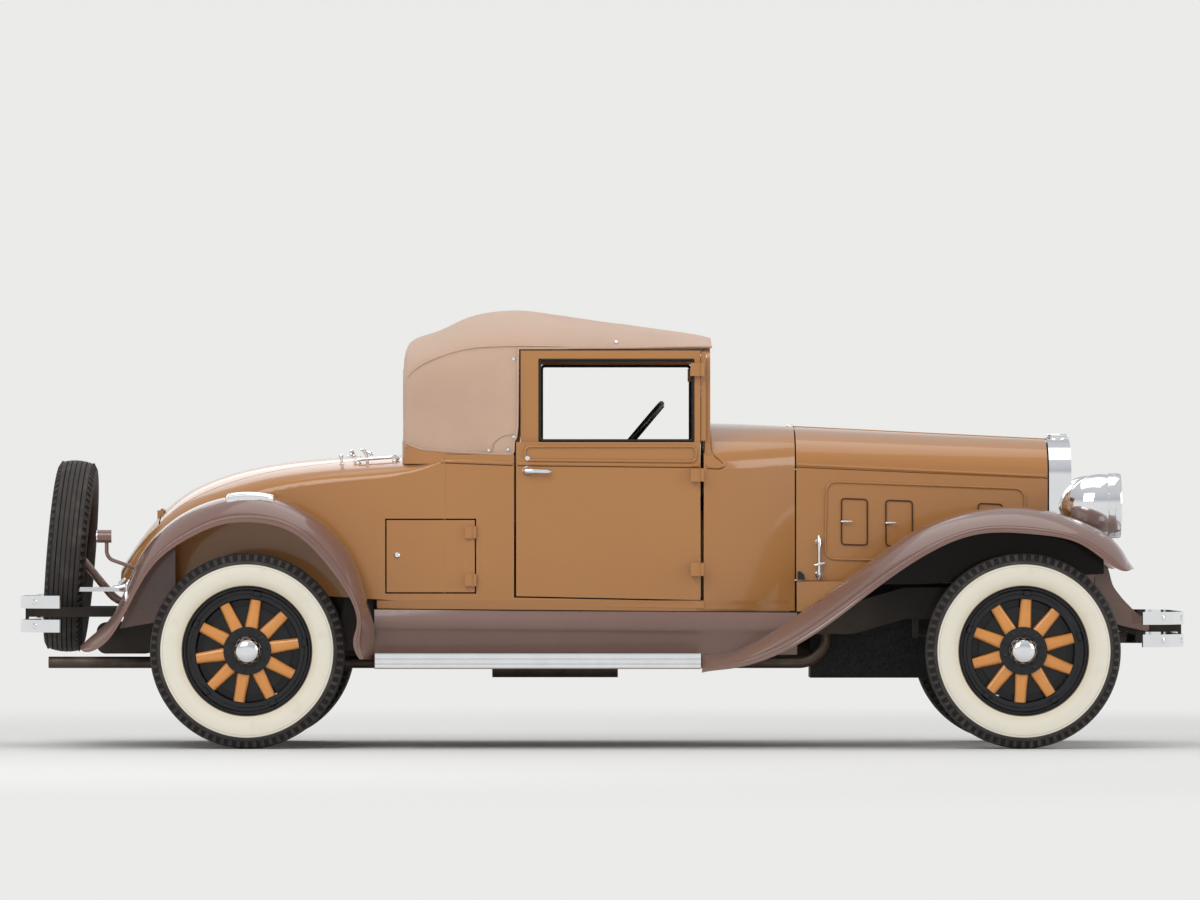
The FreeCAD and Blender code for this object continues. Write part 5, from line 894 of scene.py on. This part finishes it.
fender_skin = skin_of("rear_fenders")
pad_long, pad_wide = 21, 24
pad_rows = []
for number in range(pad_long + 1):
    row = []
    for step in range(pad_wide + 1):
        point, facing = from_above(fender_skin, -1.552 + 0.208 * number / pad_long,
                                   -0.64 - 0.105 * step / pad_wide)
        edge_in = min(number, pad_long - number, step, pad_wide - step)
        ridge = 0.003 if step % 4 in (1, 2) and edge_in > 1 else 0.0
        row.append(point + facing * (-0.001 if edge_in == 0 else 0.01 + ridge))
    pad_rows.append(row)
pad = walled(pad_rows, ringed=False)
if sum(face.normal.z for face in pad.faces) < 0:
    bmesh.ops.reverse_faces(pad, faces=pad.faces)
on_both("fender_step_pad", pad, chrome, 25)
step_y = -0.6
foot, foot_facing = meet(fender_skin, (-2.35, step_y, 0.668), (1, 0, 0))
tread_plate = brick(-2.15, foot.x - 0.03, step_y - 0.055, step_y + 0.055, 0.643, 0.661, 0.003)
strap_line = ((-0.06, 0.655), (-0.024, 0.66), (0.003, 0.668))
lever_line = ((-0.034, 0.661), (-0.03, 0.68), (-0.008, 0.697))
strap, lever = [tube([(foot.x + reach, step_y, z) for reach, z in line], radius)
                for line, radius in ((strap_line, 0.012), (lever_line, 0.007))]
pad_foot = button((foot, foot_facing), [(26, -3), (26, 4), (20, 8), (0, 9)])
shown_piece("lower_step", joined([tread_plate, strap, lever, pad_foot]), chrome, 35)

board_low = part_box("running_boards")[0]
step_board = brick(-0.9345, 0.398, -0.841, -0.6345, board_low.z, 0.3895)
apron_profile = [(0.6215, 0.568), (0.6235, 0.569), (0.633, 0.548), (0.642, 0.522), (0.644, 0.506),
                 (0.641, 0.49), (0.635, 0.47), (0.635, 0.384), (0.6215, 0.384)]
apron_rear, apron_length, apron_drop = -0.94, 1.735, 0.013
apron_rows = []
for number in range(46):
    x = apron_rear + apron_length * number / 45
    drop = apron_drop * (x - apron_rear) / apron_length
    apron_rows.append([(x, -y, z - (drop if z > 0.4 else 0)) for y, z in apron_profile])
boards, = on_both("painted_boards", joined([step_board, walled(apron_rows)]), mauve, 50)
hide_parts("running_boards")
strip_outline = [(0.838, 0.331), (0.8465, 0.331), (0.849, 0.3345), (0.849, 0.345), (0.8445, 0.3475),
                 (0.8445, 0.35), (0.849, 0.3525), (0.849, 0.364), (0.8445, 0.3665), (0.8445, 0.369),
                 (0.849, 0.3715), (0.849, 0.385), (0.845, 0.391), (0.835, 0.3925), (0.826, 0.3925),
                 (0.826, 0.3895), (0.838, 0.3885)]
edge_strip = walled([[(x, -y, z) for y, z in strip_outline] for x in (-0.932, 0.398)])
on_both("running_board_edge", edge_strip, chrome, 30)

mat_rubber = mottled("mat_rubber", (78, 58, 52), (100, 78, 70), rough=0.6, uneven=0.2, scale=24.0, detail=5.0,
                     Specular_IOR_Level=0.4)
mat_rubber.relief(mat_rubber.cloud(mat_rubber.place(), 500.0, 2.0), 0.0003)
for hand, inner, outer in (("right", -0.82, -0.642), ("left", 0.642, 0.82)):
    rib = brick(-0.915, 0.38, inner, inner + 0.008, 0.3925, 0.3965, 0.0015)
    ribs = row_of(rib, mat_rubber, 15, 0.0, (0, (outer - inner - 0.008) / 14, 0))
    sheet_of_mat = brick(-0.92, 0.385, inner, outer, 0.389, 0.393, 0.001)
    shown_piece(f"running_board_mat_{hand}", joined([sheet_of_mat, ribs]), mat_rubber)


# Plates that close the body in below: painted sills under the doors, a shelf under the hood, mauve covers
# over the frame's front horns and splash plates at the tail, and dark inner plates in the wheel arches.

whole_side = skin_of("body_shell", "cowl", "door_right")
sill_rows = []
for number in range(71):
    x = -0.93 + 1.722 * number / 70
    low_edge = 0.573 - 0.014 * number / 70
    for point, _ in on_side(whole_side, [(x, 0.628)]):
        sill_rows.append([(x, point.y + shift, z) for shift, z in ((-0.0012, 0.606), (0.005, low_edge),
                                                                   (0.009, low_edge), (0.006, 0.606))])
on_both("body_sill", walled(sill_rows), caramel, 40)
shelf = plate([(0.798, 0.56), (0.862, 0.56), (1.02, 0.655), (1.06, 0.684), (0.798, 0.684)], -0.424, -0.418)
on_both("hood_shelf", shelf, caramel, 40)
horn_outline = [(2.03, 0.77), (2.08, 0.747), (2.101, 0.665), (2.142, 0.611), (2.197, 0.555), (2.251, 0.518),
                (2.251, 0.476), (2.142, 0.5), (2.02, 0.54)]
horn_cover = plate(eased(horn_outline, 0.02, True), -0.452, -0.405)
on_both("frame_horn_cover", horn_cover, mauve, 40)
arch_top = [(x, z - 0.03) for x, z in ((1.057, 0.7365), (1.318, 0.9055), (1.553, 0.9735), (1.775, 0.9735),
                                       (1.972, 0.9185), (2.062, 0.864))]
inner_plates = [plate(spline(arch_top, 6) + [(2.062, 0.715), (1.3, 0.672), (1.06, 0.672)], -0.486, -0.481),
                plate([(-1.1, 0.4), (-0.945, 0.4), (-0.945, 0.64), (-1.06, 0.64)], -0.56, -0.556),
                plate([(-1.8, 0.4), (-2.0, 0.4), (-1.985, 0.5), (-1.8, 0.54)], -0.56, -0.556)]
on_both("arch_inner_plates", joined(inner_plates), chassis_enamel, 40)
splash_outline = [(-1.76, 0.53), (-1.99, 0.49), (-1.93, 0.64), (-1.85, 0.76), (-1.76, 0.84)]
on_both("tail_splash_plate", plate(splash_outline, -0.566, -0.562), mauve, 40)


# The windshield: a painted frame that leans back, its glass, the door and rear glass, and the chromed
# swing arms and clamp knobs on its posts.

dressed(caramel, "windshield_frame")
pane = finish_named("window_pane", Transmission_Weight=1.0, IOR=1.46, Base_Color=(0.93, 0.97, 0.95, 1),
                    Specular_IOR_Level=0.5)
pane.feed({"Roughness": pane.rise(pane.cloud(pane.place(), 6.0, 6.0), 0.55, 0.95) * 0.05})
dressed(pane, "window_glass")
frame_low, frame_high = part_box("windshield_frame")
post_y = frame_high.y - 0.016
fittings = []
for z, out in ((1.602, 16), (1.52, 20), (1.43, 16)):
    spot = (Vector((frame_low.x + 0.004, -post_y, z)), Vector((-1, 0, 0)))
    fittings.append(button(spot, [(11, -4), (11, 4), (6, 8), (6, out), (12, out + 4), (10, out + 12),
                                  (0, out + 14)], 20))
swing_arm = ((0.014, 1.602), (0.022, 1.56), (0.018, 1.52), (0.012, 1.47), (0.014, 1.43))
fittings.append(tube([(frame_low.x - back, -post_y, z) for back, z in swing_arm],
                     [0.004, 0.005, 0.006, 0.005, 0.004]))
on_both("windshield_arms", joined(fittings), chrome, 40)
seal = brick(0.4005, frame_low.x + 0.004, -0.6265, -0.6185, 1.262, 1.628)
on_both("post_seal", seal, caramel)
catch_plate = button(from_above(shell_skin, 0.778, 0),
                     [(16, -3), (16, 3), (11, 7), (0, 8)])
shown_piece("cowl_top_catch", catch_plate, chrome, 40)


# The cloth top, raised: one padded sheet of pinkish-beige canvas over the bows, from the windshield header
# down to the rear deck, with welted seams, a stitched corner gusset, a bound window and snap studs.

canvas = finish_named("top_canvas", Sheen_Weight=0.25, Sheen_Roughness=0.6, Specular_IOR_Level=0.2)
where = canvas.place()
x, y, z = canvas.parts(where)
warp = x.wave(2300.0) * 0.5 + (z + y).wave(2300.0) * 0.5
faded = canvas.cloud(where, 2.6, 4.0)
slub = canvas.cloud(canvas.stretched(where, (60.0, 60.0, 900.0)), 1.0, 3.0)
soil = canvas.rise(1.3 - z, 0.0, 0.12) * canvas.cloud(where, 20.0, 4.0)
beige = canvas.between((203, 172, 150), (186, 155, 135), canvas.rise(faded, 0.35, 0.75) * 0.6 + slub * 0.2)
canvas.coated(canvas.between(beige, (150, 122, 100), soil * 0.35 + canvas.rise(warp, 0.2, 1.0) * 0.06),
              0.86 + slub * 0.1)
canvas.relief(warp * 0.4 + slub + canvas.cloud(where, 30.0, 3.0) * 2.0, 0.0009)

top_cad = skin_of("soft_top")
pivot_x, pivot_z = -0.5, 0.9
back_x, pane_half, pane_low, pane_high, pane_lap = -0.826, 0.268, 1.402, 1.558, 0.004
deck_z = 1.2075
lower_edge = [(back_x, 1.262), (-0.807, 1.25), (-0.749, 1.227), (-0.582, 1.213), (-0.472, 1.2095),
              (-0.435, deck_z), (-0.376, deck_z), (-0.3675, 1.218), (-0.3665, 1.262), (-0.358, 1.275),
              (-0.3525, 1.32), (-0.3505, 1.6), (-0.3495, 1.6405), (0.038, 1.6415), (0.446, 1.648)]


def edge_height(x):
    """The height of the cloth's lower edge at a place along the car."""
    for (x0, z0), (x1, z1) in zip(lower_edge, lower_edge[1:]):
        if x <= x1:
            return z0 + (z1 - z0) * max(0.0, (x - x0) / (x1 - x0))
    return lower_edge[-1][1]


def top_point(foot_x, way_x, way_z, spread):
    """A point of the top's outside, seen from a pivot in the cabin, and the way that it faces."""
    way = Vector((way_x * math.cos(spread), math.sin(spread), way_z * math.cos(spread)))
    pivot = Vector((foot_x, 0, pivot_z))
    if way.x < -1e-6:
        pane_hit = pivot + way * ((back_x - foot_x) / way.x)
        if abs(pane_hit.y) < pane_half + pane_lap and pane_low - pane_lap < pane_hit.z < pane_high + pane_lap:
            return pane_hit, Vector((-1, 0, 0))
    return meet(top_cad, pivot + way * 3.0, -way)


places = [x for x in (0.4455 - 0.0265 * step for step in range(30)) if x > -0.338]
places += [-0.343, -0.3485, -0.3495, -0.3502, -0.3512, -0.3525, -0.355, -0.358, -0.362, -0.366, -0.369,
           -0.374, -0.382, -0.392, -0.405, -0.42, -0.44, -0.46, -0.48]
planes = [(x, 0.0, 1.0) for x in places]
turn_steps, turn_start, turn_end = 36, 90, 132.75
for step in range(turn_steps + 1):
    angle = math.radians(turn_start + (turn_end - turn_start) * step / turn_steps)
    planes.append((pivot_x, math.cos(angle), math.sin(angle)))
bow_places = (0.42, 0.1, -0.33, -0.63, -0.8)
widest, columns = math.radians(66), 66
half_columns = columns // 2
rows_of_top = []
for foot_x, way_x, way_z in planes:
    out = 1.2
    while out > 0.1 and pivot_z + out * way_z > edge_height(foot_x + out * way_x):
        out -= 0.001
    hit = meet(top_cad, (foot_x + out * way_x, -2.0, pivot_z + out * way_z + 0.002), (0, 1, 0))
    side_y = -hit[0].y if hit and hit[0].y < -0.4 else 0.648
    limit = math.atan2(side_y, out)
    spreads = [widest * column / half_columns for column in range(-half_columns, half_columns + 1)]
    row = [top_point(foot_x, way_x, way_z, max(-limit, min(limit, spread))) for spread in spreads]
    found = [number for number, spot in enumerate(row) if spot]
    rows_of_top.append([spot or row[min(found, key=lambda near: abs(near - number))]
                        for number, spot in enumerate(row)])

cloth = bmesh.new()
cloth_rows = []
for row in rows_of_top:
    made = []
    for point, facing in row:
        along_bows = min(abs(point.x - bow) for bow in bow_places)
        slack = 0.0035 * math.sin(min(along_bows / 0.16, 1.0) * math.pi / 2) * max(0.0, facing.z)
        ripple = noise.noise(point * 5.0) * 0.0016 + noise.noise(point * 17.0) * 0.0006
        made.append(cloth.verts.new(point - facing * (slack + 0.0015) + facing * ripple))
    cloth_rows.append(made)
for row, following in zip(cloth_rows, cloth_rows[1:]):
    for number in range(columns):
        cloth.faces.new((row[number], row[number + 1], following[number + 1], following[number]))
bmesh.ops.remove_doubles(cloth, verts=cloth.verts, dist=0.0004)
bmesh.ops.dissolve_degenerate(cloth, edges=cloth.edges, dist=0.0002)
for flat_point, flat_way in (((0, -pane_half, 0), (0, 1, 0)), ((0, pane_half, 0), (0, 1, 0)),
                             ((0, 0, pane_low), (0, 0, 1)), ((0, 0, pane_high), (0, 0, 1))):
    back = [face for face in cloth.faces if face.calc_center_median().x < -0.8]
    around = list({item for face in back for item in list(face.verts) + list(face.edges)}) + back
    bmesh.ops.bisect_plane(cloth, geom=around, plane_co=flat_point, plane_no=flat_way)
opening = []
for face in cloth.faces:
    middle = face.calc_center_median()
    if middle.x < -0.8 and abs(middle.y) < pane_half and pane_low < middle.z < pane_high:
        opening.append(face)
bmesh.ops.delete(cloth, geom=opening, context="FACES")
bmesh.ops.recalc_face_normals(cloth, faces=cloth.faces)
if sum(face.normal.z for face in cloth.faces) < 0:
    bmesh.ops.reverse_faces(cloth, faces=cloth.faces)
for face in cloth.faces:
    face.smooth = True
flat_area = sum(face.calc_area() for face in cloth.faces)
thick_one = bpy.data.objects.new("canvas_top_flat", mesh_of("canvas_top", cloth))
scene.collection.objects.link(thick_one)
wall = thick_one.modifiers.new("wall", "SOLIDIFY")
wall.thickness, wall.offset = 0.004, -1.0
thick_mesh = as_built(thick_one)
bpy.data.objects.remove(thick_one)
top = shown_piece("canvas_top", thick_mesh, canvas, 60)
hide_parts("soft_top")

rail_rows = []
for step in range(181):
    angle = math.radians(-2 + 184 * step / 180)
    inward = Vector((math.sin(angle), -math.cos(angle), 0))
    aim = Vector((pivot_x, 0.0, deck_z)) - inward * 2.0
    foot_of_rail = meet(top_cad, aim, inward)
    if foot_of_rail is None or foot_of_rail[0].x > -0.47:
        continue
    lifted = Vector((0, 0, max(edge_height(foot_of_rail[0].x) - deck_z, 0.001) + 0.001))
    head_of_rail = meet(top_cad, aim + lifted, inward)
    if head_of_rail:
        (low_point, low_way), (high_point, high_way) = foot_of_rail, head_of_rail
        low_point = low_point - Vector((0, 0, 0.04 if low_point.x < -0.645 else 0.0))
        rail_rows.append((low_point + low_way * 0.0018, high_point + high_way * 0.0018,
                          high_point - high_way * 0.006, low_point - low_way * 0.006))
shown_piece("top_foot_rail", walled(rail_rows), caramel, 50)

welt_lines = []
shoulder = round(columns / 2 * 0.6)
for side in (-1, 1):
    welt_lines.append((0.0015, 0.0042, [row[0 if side < 0 else -1] for row in rows_of_top]))
    welt_lines.append((0.0008, 0.0032, [row[half_columns + side * shoulder] for row in rows_of_top[:-14]]))
welt_lines += [(0.0015, 0.0042, rows_of_top[end]) for end in (0, -1)]
welts = [tube([point for point, _ in off(line, gap)], radius, 8) for gap, radius, line in welt_lines]
window_corners = [(-pane_half, pane_low), (pane_half, pane_low), (pane_half, pane_high),
                  (-pane_half, pane_high)]
window_ring = [Vector((-0.8255, y, z)) for y, z in walked(eased(window_corners, 0.004, True), 0.05, True)]
welts.append(tube(window_ring + window_ring[:1], 0.0055, 8))
welting = shown_piece("canvas_welts", joined(welts), canvas, 60)

gusset_line = on_side(top_cad, walked(eased([(-0.455, 1.218), (-0.452, 1.25), (-0.42, 1.278),
                                             (-0.372, 1.288)], 0.03), 0.008))
stitch = brick(-0.0025, 0.0025, -0.0009, 0.0009, -0.0004, 0.0012, 0.0003)
stitches = []
for number, (point, facing) in enumerate(gusset_line):
    before, after = beside(gusset_line, number)
    ahead = (after[0] - before[0]).normalized()
    across = facing.cross(ahead).normalized()
    copy = stitch.copy()
    copy.transform(Matrix.Translation(point) @ Matrix((ahead, across, facing)).transposed().to_4x4())
    stitches.append(copy)
stitch.free()
thread = mottled("top_thread", (150, 118, 92), (120, 92, 70), rough=0.8, uneven=0.1, scale=900.0,
                 rough_scale=300.0, Sheen_Weight=0.3)
gusset = on_both("corner_gusset_stitches", joined(stitches), thread)
snap_spots = on_side(top_cad, [(-0.368, 1.597), (0.052, 1.667), (-0.368, 1.278), (-0.47, 1.222),
                               (-0.392, 1.226)])
snap = [(8.5, -2), (8.5, 2), (6, 5), (0, 6)]
on_both("snap_studs", joined([button(spot, snap, 16) for spot in snap_spots]), chrome, 40)
[welting] + gusset


# Seats: spring cushions in pleated brown leather, stuffed and sewn down in channels, on a wood riser in
# the cabin, and one more cushion under the rumble lid. The same stained wood makes floor and dashboard.

hide = finish_named("seat_hide", Specular_IOR_Level=0.45, Coat_Weight=0.15)
where = hide.place()
cells = hide.node("ShaderNodeTexVoronoi", {"feature": "DISTANCE_TO_EDGE"}, {"Vector": where, "Scale": 320.0})
worn = hide.cloud(where, 7.0, 4.0)
hide.coated(hide.between((112, 74, 52), (138, 96, 70), hide.rise(worn, 0.4, 0.75)), 0.42 + worn * 0.2)
hide.relief(hide.rise(cells, 0.0, 0.12) + worn, 0.0006)


def swollen(item, most=0.014):
    """Presses an item outward as a filled cloth, by no more than most."""
    remesh = item.modifiers.new("even", "REMESH")
    remesh.mode, remesh.voxel_size = "VOXEL", 0.012
    even = as_built(item)
    item.modifiers.remove(remesh)
    item.data = even
    before = [corner.co.copy() for corner in even.vertices]
    swell = item.modifiers.new("swell", "CLOTH")
    swell.settings.use_pressure = True
    swell.settings.uniform_pressure_force = 4.0
    swell.settings.effector_weights.gravity = 0.0
    for number in range(1, 15):
        scene.frame_set(number)
    pressed = as_built(item)
    item.modifiers.remove(swell)
    scene.frame_set(1)
    for corner, start in zip(pressed.vertices, before):
        move = corner.co - start
        corner.co = start + (move.normalized() * min(move.length, most) if move.length > 1e-9 else move)
    item.data = pressed


def cushion(name, low, high, pleats, crown_way, lean=0.0):
    """A stuffed pad: a rounded block swollen by a pressed cloth, then sewn down in channels."""
    low, high = Vector(low), Vector(high)
    middle, half = (low + high) / 2, (high - low) / 2
    shape = bmesh.new()
    bmesh.ops.create_cube(shape, size=2.0)
    bmesh.ops.subdivide_edges(shape, edges=shape.edges, cuts=15, use_grid_fill=True)
    for corner in shape.verts:
        p = corner.co.copy()
        power = sum(abs(value) ** 7 for value in p) ** (1 / 7)
        p /= max(power, 1e-6) / max(abs(value) for value in p)
        p[crown_way] *= 0.86
        corner.co = Vector([middle[axis] + p[axis] * (half[axis] - 0.01) for axis in range(3)])
    bmesh.ops.recalc_face_normals(shape, faces=shape.faces)
    item = bpy.data.objects.new(name, mesh_of(name, shape))
    scene.collection.objects.link(item)
    bpy.context.view_layer.objects.active = item
    swollen(item)
    soft = item.modifiers.new("soft", "SUBSURF")
    soft.levels = soft.render_levels = 1
    mesh = as_built(item)
    bpy.data.objects.remove(item)
    width = high.y - low.y
    for corner in mesh.vertices:
        p = corner.co
        across = (p.y - low.y) / width * pleats
        seam = math.exp(-((abs(across - round(across)) * width / pleats) / 0.009) ** 2)
        share = (p[crown_way] - middle[crown_way]) / half[crown_way]
        if share > 0.2 and 0.4 < across < pleats - 0.4:
            p[crown_way] -= 0.013 * seam * min(1.0, (share - 0.2) * 3)
        p.x = min(high.x, max(low.x, p.x)) - lean * max(0.0, p.z - low.z)
        p.y = min(high.y, max(low.y, p.y))
        p.z = min(high.z, max(low.z, p.z))
    pad = shown_piece(name, mesh, hide, 70)
    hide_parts("seat_cushions")
    return pad


cushion("seat_cushion", (-0.5, -0.558, 0.802), (0.02, 0.558, 0.93), pleats=12, crown_way=2)
cushion("seat_back", (-0.628, -0.558, 0.85), (-0.505, 0.558, 1.238), pleats=12, crown_way=0, lean=0.04)
cushion("rumble_cushion", (-1.515, -0.468, 0.68), (-1.119, 0.468, 0.82), pleats=9, crown_way=2)
board_wood = finish_named("trim_board")
streaks = board_wood.cloud(board_wood.stretched(board_wood.place(), (14.0, 120.0, 120.0)), 1.0, 4.0)
board_wood.coated(board_wood.between((84, 56, 38), (54, 36, 26), streaks), 0.55 + streaks * 0.2)
board_wood.relief(streaks, 0.0003)
dressed(board_wood, "seat_riser", "floor", "dashboard")


# Controls: a black four-spoke steering wheel, and plain dials with ticks on the dashboard, as far as they
# show through the glass and the windows.

bakelite = finish_named("wheel_bakelite", Specular_IOR_Level=0.5)
rubbed = bakelite.cloud(bakelite.place(), 12.0, 4.0)
bakelite.coated(bakelite.between((20, 19, 19), (44, 40, 38), bakelite.rise(rubbed, 0.5, 0.9)),
                0.25 + rubbed * 0.2)
dressed(bakelite, "steering_wheel")
dash_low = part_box("dashboard")[0]
dial_face = mottled("dial_face", (226, 218, 196), (206, 196, 170), rough=0.45, uneven=0.1, scale=30.0,
                    rough_scale=60.0)
bezels, faces_of_dials, marks_of_dials = [], [], []
for y, size in ((0.0, 36), (0.105, 46), (-0.105, 46), (0.2, 30), (-0.2, 30)):
    turn_back = Matrix.Translation((dash_low.x, y, 1.19)) @ Matrix.Rotation(math.radians(-90), 4, "Y")
    bezel = turned([(size - 4, -1), (size + 3, -1), (size + 3, 4), (size, 7), (size - 4, 3)], 40)
    face = turned([(0, -1), (size - 3, -1), (size - 3, 1.5), (0, 1.5)], 40)
    tick = brick(size * 0.0007, size * 0.00086, -0.0006, 0.0006, 0.0012, 0.0022)
    needle = brick(-0.004, size * 0.00066, -0.0007, 0.0007, 0.002, 0.003)
    marks = joined([row_of(tick, bakelite, 12, math.tau / 12), needle])
    for shape, group in ((bezel, bezels), (face, faces_of_dials), (marks, marks_of_dials)):
        shape.transform(turn_back)
        group.append(shape)
shown_piece("dial_bezels", joined(bezels), chrome)
shown_piece("dial_faces", joined(faces_of_dials), dial_face)
shown_piece("dial_marks", joined(marks_of_dials), bakelite)


# The car's ends: domed and chromed bolts that clamp the bumpers' bars, and the tail lamp's ruby glass,
# held in a chromed ring.

flatness = 0.55
bolt_outline = [(r, h * flatness) for r, h in ((13, -2), (13, 2), (10, 6), (5, 8), (0, 8.5))]
bolts = []
for bars, way, bolt_y, heights in (("front_bumper", -1, (0.6, 0.76), (0.534, 0.442)),
                                   ("rear_bumpers", 1, (0.275, 0.725), (0.6, 0.502))):
    bar_skin = skin_of(bars)
    for y in sorted([-y for y in bolt_y] + list(bolt_y)):
        for z in heights:
            hit = meet(bar_skin, (-3.0 * way, y, z), (way, 0, 0))
            if hit:
                bolts.append(button(hit, bolt_outline, 18))
shown_piece("bumper_bolts", joined(bolts), chrome, 40)
ruby = mottled("ruby_glass", (150, 14, 12), (110, 6, 8), rough=0.12, uneven=0.08, scale=90.0,
               rough_scale=200.0, Transmission_Weight=0.3, IOR=1.5)
lamp_back = meet(skin_of("tail_lamp"), (-3.0, -0.45, 0.87), (1, 0, 0))[0], Vector((-1, 0, 0))
glass = button(lamp_back, [(21, -3), (21, 2), (14, 7), (0, 9)], 32)
ring = button(lamp_back, [(20, -2), (26.5, -2), (26.5, 3), (23.5, 5), (20, 3)], 32)
shown_piece("tail_lamp_glass", glass, ruby, 50)
shown_piece("tail_lamp_ring", ring, chrome, 40)
